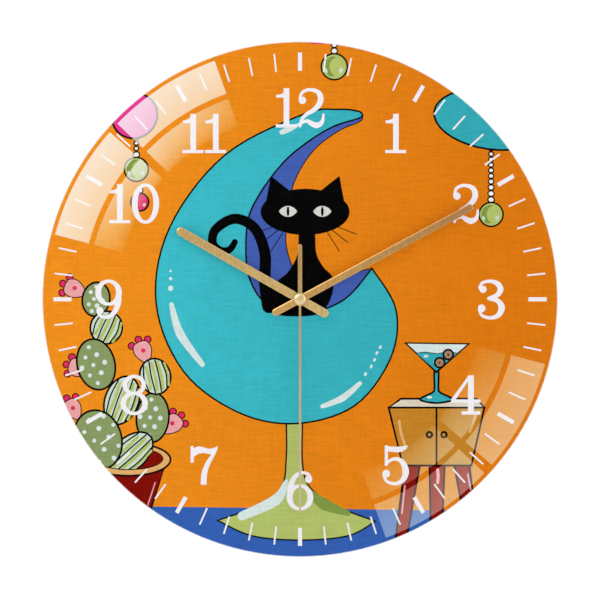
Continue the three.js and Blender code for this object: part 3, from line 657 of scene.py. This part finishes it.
def numeral_layers(hour):
    """The outlines of one numeral, upright and centred on its place round the dial."""
    glyphs = [DIGITS[int(character)]() for character in str(hour)]
    whole = sum(width for width, _ in glyphs) + DIGIT_GAP * (len(glyphs) - 1)
    turn = math.radians(30 * hour)
    cx, cz = NUMERAL_RING * math.sin(turn), NUMERAL_RING * math.cos(turn)
    layers, pen = [], -whole / 2
    for width, parts in glyphs:
        for kind, outline in parts:
            layers.append((kind, [(cx + (pen + x) * NUMERAL_HEIGHT, cz + (z - 0.5) * NUMERAL_HEIGHT)
                                  for x, z in outline]))
        pen += width + DIGIT_GAP
    return layers


def build_dial_print():
    """The twelve numerals, the hour marks and the minute marks, in white ink over the picture."""
    white, level = white_ink(), (INK_BACK, INK_FRONT)
    for hour in range(1, 13):
        printed(f"numeral_{hour}", numeral_layers(hour), level, white)
    hours = [k for k in range(60) if k % 5 == 0]
    minutes = [k for k in range(60) if k % 5]
    for name, chosen, width in (("hour_marks", hours, 2.4), ("minute_marks", minutes, 1.0)):
        mark = bar(-width / 2, width / 2, TICK_INNER, TICK_OUTER)
        printed(name, ink(*(turned(mark, 6 * k) for k in chosen)), level, white)


# ---------------------------------------------------------------- the printed picture

# The floor's far edge falls a little from left to right.
FLOOR_LEFT, FLOOR_RIGHT = -120.1, -124.1


def picture_floor():
    return [("floor_blue", [(-DIAL, -DIAL), (DIAL, -DIAL), (DIAL, FLOOR_RIGHT), (-DIAL, FLOOR_LEFT)])]


def picture_seat():
    """A crescent seat: an outer sweep and an inner sweep between two horns, with a shaded inside."""
    tip, horn = (36.6, 107.2), (42, 18)
    outer = spline([tip, (34, 109.7), (22, 110.8), (2, 108), (-44, 84), (-76, 42), (-84, -2), (-68, -42),
                    (-36, -66), (-2, -72.5), (32, -62), (53, -34), (56, -6), horn])
    inner = spline([horn, (26, 0), (4, -8), (-18, -4), (-30, 14), (-31, 42), (-25, 59), (-10, 79.5),
                    (5.5, 92.5), (20, 101), (34, 105.5), tip])
    shade_edge = spline([horn, (24, 14), (8, 9), (-2, 15), (-8, 31), (-7, 48), (-4.5, 65), (1.5, 78),
                         (10, 89), (23, 98.5), (35, 103.8), tip])
    seat = outer + inner[1:-1]
    shade = inner[:-1] + shade_edge[::-1][:-1]
    layers = outlined("inner_blue", shade, 0.6) + outlined("turquoise", seat, 1)
    dabs = [brush([(-75, -3), (-70, -20), (-57, -38)], [2.6, 5, 3]),
            brush([(13, -62.5), (25, -57.5), (35, -49)], [2.4, 4, 2.4]),
            brush([(-10.5, 97.5), (-5.5, 99.8), (0.5, 102.5)], [3, 3.4, 1])]
    dabs += [ellipse(-75.5, z, r) for z, r in ((6.5, 1.5), (12, 1), (16.5, 0.7))]
    dots = ((38.2, -43.7), (41.6, -39.2), (43.5, -35.3), (44.9, -31.4), (46.8, -27.9))
    dabs += [ellipse(x, z, 0.75, 1.2, 28, 14) for x, z in dots]
    return layers + [("pale_dab", dab) for dab in dabs]


def picture_pedestal():
    left = [(-8, -71), (-8, -92), (-11, -110), (-26, -121), (-48, -129)]
    right = [(1.5, -71), (1.5, -96), (6, -110), (22, -121), (44, -129.5)]
    under = spline([(-48, -129), (-28, -138), (0, -140.5), (28, -138), (44, -129.5)])
    foot = spline(left)[:-1] + under + spline(right)[::-1][1:]
    shade = brush([(5, -112), (14, -119.5), (28, -125)], [3, 7, 3])
    gloss = brush([(-8, -106), (-14, -117), (-34, -126.5)], [2, 6.5, 5])
    return outlined("lime", foot, 0.9) + [("lime_shade", shade), ("pale_dab", gloss)]


def picture_cat():
    """A plain sitting cat, seen from the front, with its tail curled beside it."""
    head = ellipse(3, 51, 26, 13.5)
    ears = [[(-20, 56), (-17, 72), (-3, 61)], [(9, 61), (23, 72), (26, 56)]]
    body = spline([(0, 40), (-1.5, 26), (-7, 16), (-15, 9), (-21, 0), (-20, -6), (-12, -9.3), (-1, -10),
                   (9, -9), (15, -5), (19, 4), (19, 13), (13.5, 19), (9.5, 27), (8, 40)], closed=True)
    tail = brush([(-18, -4), (-20.5, 11), (-20.5, 27), (-26.5, 41.5), (-38, 47), (-49, 41), (-51, 33),
                  (-46.5, 28.5), (-41, 29), (-38, 33.5)], [8.5, 7, 6.5, 6, 6, 5.5, 5, 4.5, 4, 3.5])
    shapes = [body, tail, head] + ears
    for side in (-1, 1):
        for lift in (0, 1, 2):
            start = (3 + side * (17 - 2 * lift), 43 - 2 * lift)
            shapes.append(stroke([start, (start[0] + side * (13 - 3 * lift), start[1] - 5 - 3 * lift)], 0.5))
    layers = [("black", shape) for shape in shapes]
    for cx in (-7, 13):
        almond = arc(cx, 47, 6.5, 7.5, 35, 145, 10) + arc(cx, 55.6, 6.5, 7.5, 215, 325, 10)
        layers += [("eye", almond), ("black", ellipse(cx, 51.3, 0.8, 2.9, steps=14))]
    return layers


def dotted_pad(cx, cz, rx, rz, tilt):
    layers = outlined("cactus", ellipse(cx, cz, rx, rz, tilt))
    for row in range(-2, 3):
        for column in range(-1, 2):
            x = cx + (column + 0.5 * (row % 2)) * rx * 0.62 - 0.15 * rx
            z = cz + row * rz * 0.36
            inside = ((x - cx) / (rx - 2)) ** 2 + ((z - cz) / (rz - 2)) ** 2 < 1
            if inside:
                dot = turned(ellipse(x, z, 1.2 + 0.25 * ((row + column) % 2), steps=14), tilt, cx, cz)
                layers.append(("pale_dab", dot))
    return layers


def striped_pad(cx, cz, rx, rz, tilt):
    layers = outlined("cactus_pale", ellipse(cx, cz, rx, rz, tilt))
    for share in (-0.6, -0.2, 0.2, 0.6):
        half = rz * math.sqrt(1 - share * share) - 1
        bow = cx + share * rx
        band = brush([(bow + 1.3, cz - half * 0.86), (bow + 1.8, cz), (bow + 1.3, cz + half * 0.86)], 1.7)
        line = brush([(bow, cz - half), (bow + share * 2, cz), (bow, cz + half)], 0.85)
        layers += [("lime", turned(band, tilt, cx, cz)), ("line", turned(line, tilt, cx, cz))]
    return layers


def bud(cx, cz, size, tilt):
    """A pink bud with three darker tips."""
    layers = []
    for spread in (-42, 0, 42):
        x, z = turned([(cx, cz + size * 1.25)], tilt + spread, cx, cz)[0]
        layers += outlined("magenta", ellipse(x, z, size * 0.34, steps=18), 0.6)
    shape = ((0, -1.2), (-0.85, -0.1), (-0.6, 0.9), (0.6, 0.9), (0.85, -0.1))
    drop = spline([(cx + size * x, cz + size * z) for x, z in shape], closed=True)
    layers += outlined("pink", turned(drop, tilt, cx, cz), 0.6)
    return layers + [("magenta", ellipse(cx, cz + size * 0.1, size * 0.22, steps=14))]


# Pads of the cactus from back to front: kind, centre, half sizes and tilt. Buds: centre, size and tilt.
PADS = [
    ("dots", -86, -69, 9.5, 14.5, 4),
    ("stripes", -84.5, -45, 9, 10.5, -12),
    ("stripes", -99, -90, 9.5, 15.5, 48),
    ("dots", -119, 0, 8, 10, 10),
    ("stripes", -113, -16.5, 9.3, 9.6, 25),
    ("dots", -119, -38, 11, 15, -14),
    ("stripes", -104, -59, 9.8, 14.5, 20),
    ("dots", -118, -82, 14, 17.5, -14),
]
BUDS = [(-131.5, 6, 6, -65), (-129, -40, 6, -75), (-132.5, -64, 5.8, -30), (-91.5, -30.5, 6, -22),
        (-74.5, -73, 6, 45)]


def picture_cactus():
    """A prickly pear of dotted and striped pads in a clay pot."""
    rim, mouth = (-100, -93.5, 24.5, 9.5), (-100, -93, 20, 6.4)
    layers = outlined("tan", ellipse(*rim)) + outlined("pot_red", ellipse(*mouth), 0.6)
    for place in BUDS:
        layers += bud(*place)
    for kind, *pad in PADS:
        layers += dotted_pad(*pad) if kind == "dots" else striped_pad(*pad)
    layers += outlined("pot_red", [(-123, -99), (-116, -122.5), (-87, -122.5), (-79, -98)]
                       + arc(-101, -98.5, 22, 3, 0, -180, 16))
    front_rim, front_mouth = arc(*rim, 180, 360, 20), arc(*mouth, 180, 360, 20)
    return layers + [("tan", front_rim + front_mouth[::-1]), ("line", stroke(front_rim, LINE)),
                     ("line", stroke(front_mouth, 0.6)), ("pink", brush([(-84.5, -107), (-88.8, -120)], 0.7))]


def picture_cabinet():
    """A small two-door cabinet on splayed legs."""
    left, right, top, bottom = 51.7, 107.6, -63.2, -97
    layers = []
    for knee, foot in ((66, 58), (80, 79.5), (94, 102)):
        leg = [(knee - 4.5, -94), (foot - 3, -146), (foot + 3, -146), (knee + 4.5, -94)]
        layers += outlined("pot_red", leg)
    layers += outlined("cream", [(left, top), (59, -58), (103, -58), (right, top)])
    layers += outlined("ochre", [(left, top), (60, bottom), (100, bottom), (right, top)])
    layers.append(("line", bar(79.1, 80.2, bottom, top)))
    gleams = [("tan", 1.6, [(57.8, -71), (59, -78), (61.5, -86)]),
              ("tan", 1.6, [(102.3, -68), (101, -72.5), (99, -77)]),
              ("pink", 1.8, [(80.3, -99.5), (80.6, -103), (80.3, -107)]),
              ("pink", 0.9, [(61.2, -109), (59.4, -125)]), ("pink", 0.9, [(97.9, -102), (99.6, -111)])]
    layers += [(colour, brush(path, width)) for colour, width, path in gleams]
    for cx in (75.5, 84):
        layers += [("line", ellipse(cx, -79, 2.2, steps=20)), ("ochre", ellipse(cx, -79, 0.9, steps=16))]
    return layers


def picture_glass():
    """A cocktail glass on the cabinet, with two stoned olives in it."""
    foot = [(70, -58.5), (77, -54.5), (78.4, -52), (78.4, -42), (80.8, -42), (80.8, -52), (82, -54.5),
            (89, -58.5), (79.5, -60.5)]
    drink = [(67.6, -31.5), (79.6, -42), (92.2, -31.5), (86, -30.6), (80, -31.8), (73, -30.8)]
    layers = outlined("turquoise", spline(foot, closed=True))
    layers += outlined("pale_dab", [(61.5, -25.5), (79.6, -42.5), (98.5, -26)])
    layers += outlined("turquoise", drink, 0.5)
    for cx, cz, rx in ((73.5, -33.2, 1.5), (79, -36.8, 1.2), (75.5, -57.2, 1.6)):
        layers.append(("pale_dab", ellipse(cx, cz, rx, 0.8, steps=14)))
    for cx, cz in ((81.5, -37), (86.5, -32.3)):
        layers += outlined("olive", ellipse(cx, cz, 2.9, steps=20))
        layers.append(("line", ellipse(cx, cz, 0.6, steps=12)))
    return layers


def pendant(cx, cz, radius, top, colour="lime", shade="lime_shade"):
    """A glass ball on a bead chain that comes down from above."""
    layers, height, bead = [], cz + radius + 1.6, 1.9
    while height < top:
        layers += outlined("chalk", ellipse(cx, height, bead, bead * 0.9, steps=16), 0.8)
        height += bead + 1.7
        bead = 1.4 + 0.5 * abs(math.sin(height))
    layers += outlined(colour, ellipse(cx, cz, radius), 1)
    hollow = arc(cx, cz, radius * 0.8, radius * 0.8, 95, 250, 14)
    layers.append((shade, hollow + arc(cx + radius * 0.25, cz, radius * 0.62, radius * 0.72, 250, 95, 14)))
    dabs = [ellipse(cx + radius * 0.5, cz - radius * 0.3, radius * 0.15, radius * 0.22, 20, 14),
            ellipse(cx - radius * 0.62, cz - radius * 0.3, radius * 0.1, radius * 0.2, -20, 14)]
    return layers + [("cactus_pale", dab) for dab in dabs]


def picture_lamps():
    layers = pendant(111.5, 49.5, 7, 92) + outlined("turquoise", ellipse(112, 105, 34, 17.5, 8))
    layers += pendant(20, 135.7, 7.6, 150) + [("magenta", ellipse(11, 156, 12, 7.2))]
    layers += pendant(-95.5, 75.8, 7, 96) + outlined("rose", ellipse(-96.5, 107, 13.6, 12.8, -38))
    return layers + pendant(-93.5, 56.7, 5.2, 66, "magenta", "pot_red")


def picture_layers():
    """Every outline of the picture with its paint, from back to front, on an orange ground."""
    layers = [("orange", ellipse(0, 0, PRINT_RADIUS, steps=256))]
    for draw in (picture_floor, picture_lamps, picture_pedestal, picture_seat, picture_cat, picture_cactus,
                 picture_cabinet, picture_glass):
        layers += draw()
    return layers


def build_picture(layers):
    layers = layers + [(HOLE, ellipse(0, 0, PIPE_HOLE, steps=48))]
    points, found = partition(layers)
    for colour in sorted(found):
        piece = plate(f"picture_{colour}", points, found[colour], sheet_high.y, sheet_low.y)
        stands_for = ["artwork_sheet"] if colour == "orange" else []
        paint = painted(f"paint_{colour}", PALETTE[colour], PALETTE_SHADED_RIGHT.get(colour))
        finish_piece(piece, "movement", paint, stands_for)


# ---------------------------------------------------------------- clear front and board


def build_front():
    """The clear disc, with a polished edge that is rounded at the front."""
    radius, back, front = lens_high.x, lens_high.y, lens_low.y
    hole, chamfer, rounding = PIPE_HOLE * UNIT, 0.3 * UNIT, 0.18 * UNIT
    profile = [(hole, back), (radius - chamfer, back), (radius, back - chamfer)]
    profile += arc(radius - rounding, front + rounding, rounding, rounding, 0, -90, 8) + [(hole, front)]
    piece = lathe("clear_disc", profile, 256)
    finish_piece(piece, "movement", clear_front(), ["front_lens"])


def build_board():
    """The rear board, with its edge eased and the counterbore that holds the nut."""
    radius, back, front = board_high.x, board_high.y, board_low.y
    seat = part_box("flat_washer")[1].y + 0.1 * UNIT
    ease, counterbore, bush_hole = 0.5 * UNIT, 9 * UNIT, 4.3 * UNIT
    profile = [(bush_hole, back), (radius - ease, back), (radius - ease * 0.3, back - ease * 0.3),
               (radius, back - ease), (radius, front), (counterbore, front), (counterbore, seat),
               (bush_hole, seat)]
    piece = lathe("board_disc", profile, 256)
    finish_piece(piece, "movement", laminated_board(), ["dial_board"])


# ---------------------------------------------------------------- hands


SECOND_HAND_THICKNESS = 0.3 * UNIT


def measured(node):
    """A hand's clockwise angle in degrees, its reach, tail, half widths and heights, from the frame."""
    corners = [v.co for v in frame["nodes"][node].data.vertices]
    tip = max(corners, key=lambda c: math.hypot(c.x, c.z))
    middle = [c for c in corners if math.hypot(c.x - tip.x, c.z - tip.z) < 0.3 * UNIT]
    tip = sum(middle, Vector()) / len(middle)
    angle = math.degrees(math.atan2(tip.x, tip.z))
    flat = [turned([(c.x / UNIT, c.z / UNIT)], -angle)[0] for c in corners]
    reach, tail = max(z for _, z in flat), -min(z for _, z in flat)
    half = max(abs(x) for x, z in flat if z > reach / 2)
    tail_half = max(abs(x) for x, z in flat if z < -0.6 * tail)
    low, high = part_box(node)
    return angle, reach, tail, half, tail_half, low.y, high.y


def hand_outline(reach, tail, half, tail_half, hub):
    """A straight bar with round ends and a round hub, pointing to 12 o'clock."""
    upper = math.degrees(math.asin(half / hub))
    lower = math.degrees(math.asin(tail_half / hub))
    return (arc(0, reach - half, half, half, 0, 180, 14) + arc(0, 0, hub, hub, 90 + upper, 270 - lower, 10)
            + arc(0, tail_half - tail, tail_half, tail_half, 180, 360, 12)
            + arc(0, 0, hub, hub, -90 + lower, 90 - upper, 10))


def chamfered_hand(name, outline, hole, angle, front, back, inset, drop):
    """A stamped hand whose front edges are bevelled all round."""
    inner = grown(outline, -inset)
    corners, faces = [], []

    def level(points, y):
        start = len(corners)
        for x, z in turned(points, angle):
            corners.append((x * UNIT, y, z * UNIT))
        return list(range(start, len(corners)))

    def cap(outer, y, flip):
        points, found = partition([(INK, outer)] + ([(HOLE, hole)] if hole else []))
        start = level(points, y)[0]
        for a, b, c in found[INK]:
            faces.append((start + c, start + b, start + a) if flip else (start + a, start + b, start + c))

    def wall(first, second):
        for k in range(len(first)):
            after = (k + 1) % len(first)
            faces.append((first[k], first[after], second[after], second[k]))

    rings = [level(outline, back), level(outline, front + drop), level(inner, front)]
    wall(rings[0], rings[1])
    wall(rings[1], rings[2])
    cap(inner, front, False)
    cap(outline, back, True)
    if hole:
        wall(level(hole, front), level(hole, back))
    piece = mesh_object(name, corners, faces)
    face_outwards(piece, merge=1e-3 * UNIT)
    return piece


def build_hand(node, body, colour, far_painted_light_colour, hub, hole_radius):
    angle, reach, tail, half, tail_half, front, back = measured(node)
    if node == "second_hand":
        back = front + SECOND_HAND_THICKNESS
        half, tail_half = half * 0.8, tail_half * 0.8
    outline = hand_outline(reach, tail, half, tail_half, hub)
    hole = ellipse(0, 0, hole_radius, steps=32) if hole_radius else None
    inset = min(0.55, half * 0.45)
    piece = chamfered_hand(node + "_plate", outline, hole, angle, front, back, inset, 0.22 * UNIT)
    gold = brushed_metal(node + "_gold", colour, angle, 0.36, 0.3, far_painted_light_colour, (-tail * UNIT, reach * UNIT))
    piece.visible_shadow = False
    finish_piece(piece, body, gold, [node])


def build_hands():
    """Three gold hands. The light is so even that they cast no shadow of their own on the picture."""
    # Each hand's second colour is painted light at its tip: painted shade darkens the hour and minute hands
    # towards the tip, and a painted highlight makes the second hand paler there.
    build_hand("hour_hand", "hour_work", (0.83, 0.71, 0.47), (0.785, 0.65, 0.415), 3.9, 2.6)
    build_hand("minute_hand", "minute_work", (0.80, 0.64, 0.385), (0.71, 0.52, 0.325), 3.2, 1.85)
    build_hand("second_hand", "seconds_work", (0.73, 0.59, 0.36), (0.78, 0.71, 0.60), 2.2, 0)
    low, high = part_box("second_hand")
    bore, radius, start = 0.6 * UNIT, 1.0 * UNIT, low.y + SECOND_HAND_THICKNESS
    collar = lathe("second_hand_tube", [(bore, start), (radius, start), (radius, high.y), (bore, high.y)], 48)
    finish_piece(collar, "seconds_work", brushed_metal("tube_gold", (0.84, 0.73, 0.56)))
    build_cap()


def build_cap():
    """The domed cap over the hub, with a short upright skirt and a small step under the dome."""
    radius, back, front = cap_high.x * 0.9, cap_high.y, cap_low.y
    skirt = 0.45 * UNIT
    dome_radius = radius * 0.93
    ease = 0.1 * UNIT
    profile = [(0, back), (radius * 0.97, back), (radius, back - ease), (radius, back - skirt + ease),
               (radius * 0.98, back - skirt), (dome_radius, back - skirt)]
    profile += arc(0, back - skirt, dome_radius, front - back + skirt, 0, 90, 10)[1:-1] + [(0, front)]
    piece = lathe("hub_cap", profile, 96, sharp=50)
    piece.visible_shadow = False
    gold = brushed_metal("cap_gold", (0.88, 0.79, 0.60), roughness=0.24, streak=0.1)
    finish_piece(piece, "seconds_work", gold, ["hand_cap"])


# ---------------------------------------------------------------- movement


# Pieces in sight from behind, with the width their sharp edges are rounded to, in dial units.
SHELLS = {"movement_case": 0.35, "back_cover": 0.2, "setting_knob": 0.15, "hanger_bracket": 0.12,
          "battery": 0, "rubber_gasket": 0.1}


def build_movement():
    """Gives each piece of the movement a worked material, and the ones in sight a softer-edged shell."""
    looks = {
        "black_plastic": moulded("case_plastic", (0.13, 0.13, 0.14), 0.5),
        "white_nylon": moulded("nylon", (0.93, 0.92, 0.88), 0.42, 900, 0.015),
        "black_rubber": moulded("rubber", (0.10, 0.10, 0.10), 0.82, 700, 0.05),
        "brass": brushed_metal("turned_brass", (0.86, 0.70, 0.38), roughness=0.28),
        "plated_steel": brushed_metal("plated_steel", (0.78, 0.79, 0.81), 90, 0.3),
        "magnet": brushed_metal("sintered_magnet", (0.35, 0.35, 0.37), roughness=0.5, streak=0.2),
        "copper_wire": winding_copper(),
        "green_laminate": moulded("solder_resist", (0.13, 0.40, 0.24), 0.35, 500, 0.02),
        "battery_jacket": battery_film(),
    }
    slots = {part["node"]: part["material_slot"] for part in frame["record"]["subparts"]}
    for name, node in frame["nodes"].items():
        slot = slots[name]
        if name in SHELLS:
            shell = bpy.data.objects.new(name + "_shell", node.data.copy())
            bpy.context.scene.collection.objects.link(shell)
            smooth_by_angle(shell, 30)
            if SHELLS[name]:
                soft_edges(shell, SHELLS[name] * UNIT)
            body = "reverse_work" if name == "setting_knob" else "movement"
            finish_piece(shell, body, looks[slot], [name])
        elif slot in looks:
            node.data.materials.clear()
            node.data.materials.append(looks[slot])


def build_case_marks():
    """Printed marks on the back cover: a turning arrow round the knob, and the battery's two signs."""
    cx, cz = (knob_low.x + knob_high.x) / 2 / UNIT, (knob_low.z + knob_high.z) / 2 / UNIT
    inner, outer, start, stop = 6.6, 7.2, 40, 300
    sweep = arc(cx, cz, outer, outer, start, stop, 40) + arc(cx, cz, inner, inner, stop, start, 40)
    head = [arc(cx, cz, radius, radius, angle, angle, 1)[0]
            for radius, angle in ((inner - 0.8, stop), (outer + 0.8, stop), ((inner + outer) / 2, stop + 20))]
    line = cover_low.z / UNIT + 3.4
    signs = [bar(end - 1.6, end + 1.6, line - 0.3, line + 0.3) for end in (-21, 21)]
    signs.append(bar(-21.3, -20.7, line - 1.6, line + 1.6))
    level = (cover_high.y + 0.06 * UNIT, cover_high.y - 0.04 * UNIT)
    printed("case_marks", ink(sweep, head, *signs), level,
            moulded("mark_print", (0.66, 0.66, 0.67), 0.6))


# ---------------------------------------------------------------- studio

WORLD_LIGHT = 0.9
WORLD_SEEN = 0.87


def studio_paper():
    """Pale paper with a faint fibre, lit up towards the back, behind the clock."""
    nodes = material_nodes("studio_paper")
    fibre = nodes.noise(nodes.place, 60, 3)
    glow = nodes.ranged(nodes.along("Y"), 0, 0.17, 0.1, 0.8)
    nodes.surface(nodes.mixed(fibre, (0.87, 0.87, 0.87, 1), (0.89, 0.89, 0.89, 1)), 0.9,
                  Emission_Strength=glow, Emission_Color=(1, 1, 1, 1), Specular_IOR_Level=0)
    return nodes.owner


def build_floor():
    """A plain pale floor that sweeps up behind the clock."""
    drop, half, behind, rise, bend = -2 * DIAL * UNIT, 6, 2.6, 4, 0.8
    profile = [(-4, drop)] + arc(behind - bend, drop + bend, bend, bend, -90, 0, 12) + [(behind, drop + rise)]
    corners = [(side * half, y, z) for y, z in profile for side in (-1, 1)]
    faces = [(2 * k, 2 * k + 1, 2 * k + 3, 2 * k + 2) for k in range(len(profile) - 1)]
    floor = mesh_object("studio_floor", corners, faces)
    for polygon in floor.data.polygons:
        polygon.use_smooth = True
    floor.data.materials.append(studio_paper())


# The two rings that the painted reflection of window light lies in: inner and outer radius.
OUTER_BAND, INNER_BAND = (127.4, 147.8), (105.9, 124.2)


def sheen_material(colour):
    """A painted reflection of window light in the clear front, over one paint: a glowing film seen only from
    nearly straight ahead.

    Each channel is lifted towards white as a pale film would lift it: a share of what is behind comes through
    and a glow is added, so that this paint and the white ink over it both come out right."""
    nodes = material_nodes(f"sheen_over_{colour}")
    strength = nodes.add("Attribute", attribute_name="sheen").outputs["Fac"]
    towards_camera = nodes.add("NewGeometry").outputs["Incoming"]
    ahead = nodes.add("VectorMath", {0: towards_camera, 1: (0, -1, 0)}, operation="DOT_PRODUCT")
    seen = nodes.maths("MULTIPLY", strength, nodes.ranged(ahead.outputs["Value"], 0, 1, 0.93, 0.985))
    shares, glows = {}, {}
    for channel, ground in zip(("Red", "Green", "Blue"), PALETTE[colour]):
        lifted = nodes.maths("POWER", nodes.ranged(seen, ground, 1), GAMMA)
        behind = ground ** GAMMA
        shares[channel] = nodes.maths("DIVIDE", nodes.maths("SUBTRACT", 1, lifted), 1 - behind)
        glows[channel] = nodes.maths("SUBTRACT", lifted, nodes.maths("MULTIPLY", shares[channel], behind))
    clear = nodes.add("BsdfTransparent", {"Color": nodes.add("CombineColor", shares).outputs["Color"]})
    light = nodes.add("Emission", {"Color": nodes.add("CombineColor", glows).outputs["Color"],
                                   "Strength": 1 / CLEARNESS ** 2})
    both = nodes.add("AddShader", {0: clear.outputs["BSDF"], 1: light.outputs["Emission"]})
    nodes.own_surface(both.outputs["Shader"])
    return nodes.owner


def boxes_overlap(first, second):
    """Whether the upright boxes round two outlines overlap."""
    return all(min(p[axis] for p in one) < max(p[axis] for p in other)
               for axis in (0, 1) for one, other in ((first, second), (second, first)))


def sheen_pane(films, picture, band, far, near, strength):
    """Adds one pane of painted window reflection to the films over each paint.

    The pane is a part of a ring, cut along a grid and along the picture's outlines. Its strength is given by
    two shares, one across the band from its inner edge and one along it from the far end."""
    rows, columns = 10, 16

    def place(row, column):
        radius = band[0] + (band[1] - band[0]) * row / rows
        turn = math.radians(far + (near - far) * column / columns)
        return radius * math.sin(turn), radius * math.cos(turn)

    def strength_at(x, z):
        across = (math.hypot(x, z) - band[0]) / (band[1] - band[0])
        along = (math.degrees(math.atan2(x, z)) % 360 - far) / (near - far)
        return strength(min(max(across, 0), 1), min(max(along, 0), 1))

    rim = [place(0, c) for c in range(columns + 1)] + [place(rows, c) for c in range(columns, -1, -1)]
    cells = [("orange", [place(r, c), place(r, c + 1), place(r + 1, c + 1), place(r + 1, c)])
             for r in range(rows) for c in range(columns)]
    shapes = [layer for layer in picture[1:] if boxes_overlap(layer[1], rim)]
    points, found = partition([("orange", rim)] + cells + shapes)
    for colour, triangles in found.items():
        corners, values, faces = films.setdefault(colour, ([], [], []))
        used = sorted({v for triangle in triangles for v in triangle})
        number = {v: len(corners) + k for k, v in enumerate(used)}
        corners += [(points[v][0] * UNIT, SHEEN_LEVEL, points[v][1] * UNIT) for v in used]
        values += [strength_at(*points[v]) for v in used]
        faces += [tuple(number[v] for v in triangle) for triangle in triangles]


def build_sheen(picture):
    """Two painted window reflections, each of two panes: a bright outer band and an inner band that fades
    inwards.
    """
    films = {}
    for top, panes in ((0.8, ((284.8, 311.3), (340.3, 313.9))), (0.4, ((104.8, 130.8), (160.2, 133.3)))):
        for far, near in panes:
            sheen_pane(films, picture, OUTER_BAND, far, near,
                       lambda across, along: top * (0.8 + 0.2 * across) * (0.95 + 0.05 * along))
            sheen_pane(films, picture, INNER_BAND, far, near,
                       lambda across, along: top * 0.78 * across ** 0.5 * (0.4 + 0.6 * along ** 0.7))
    for colour, (corners, values, faces) in sorted(films.items()):
        film = mesh_object(f"sheen_over_{colour}", corners, faces)
        film.data.attributes.new("sheen", "FLOAT", "POINT").data.foreach_set("value", values)
        film.data.materials.append(sheen_material(colour))
        film.visible_shadow = film.visible_diffuse = film.visible_glossy = film.visible_transmission = False


def area_light(name, place, size, watts):
    """A white window that faces the hands' axis."""
    light = bpy.data.lights.new(name, "AREA")
    light.shape = "RECTANGLE"
    light.size, light.size_y = size
    light.energy = watts
    lamp = bpy.data.objects.new(name, light)
    lamp.location = place
    lamp.rotation_euler = (-Vector(place)).to_track_quat("-Z", "Y").to_euler()
    bpy.context.scene.collection.objects.link(lamp)


def build_lights():
    """An even white studio. Mirrored in metal it is a little darker straight ahead, where the camera stands,
    and the camera itself sees it as pale grey."""
    bpy.context.scene.world = bpy.data.worlds.new("studio")
    nodes = Nodes(bpy.context.scene.world)
    direction = nodes.add("TexCoord").outputs["Generated"]
    mirrored = nodes.ranged(nodes.along("Y", direction), 0.72, 1.15, -1, -0.55)
    path = nodes.add("LightPath").outputs
    lit = nodes.add("Mix", {"Factor": path["Is Glossy Ray"], "A": WORLD_LIGHT, "B": mirrored})
    seen = nodes.add("Mix", {"Factor": path["Is Camera Ray"], "A": lit.outputs["Result"], "B": WORLD_SEEN})
    nodes.fill(nodes.tree.nodes["Background"], {"Color": (1, 1, 1, 1), "Strength": seen.outputs["Result"]})
    area_light("key_window", (-1.1, -1.3, 1.0), (0.9, 0.9), 12)
    area_light("fill_window", (1.4, -1.1, -0.1), (0.9, 1.2), 4)
    area_light("rear_window", (0.9, 1.4, 0.9), (0.9, 0.9), 5)


def build_camera():
    """Straight in front of the dial, at the distance where the clock takes its share of the picture."""
    share, below_axis = 0.8592, 0.42 * UNIT
    camera = bpy.data.cameras.new("camera")
    camera.lens = 120
    camera.sensor_width = 36
    distance = 2 * DIAL * UNIT / share * camera.lens / camera.sensor_width
    holder = bpy.data.objects.new("camera", camera)
    holder.location = (0, lens_low.y - distance, -below_axis)
    holder.rotation_euler = (math.pi / 2, 0, 0)
    bpy.context.scene.collection.objects.link(holder)
    bpy.context.scene.camera = holder


# ---------------------------------------------------------------- build

picture = picture_layers()
build_picture(picture)
build_dial_print()
build_front()
build_board()
build_hands()
build_movement()
build_case_marks()
build_floor()
build_sheen(picture)
build_lights()
build_camera()
bpy.context.scene.view_settings.view_transform = "Standard"
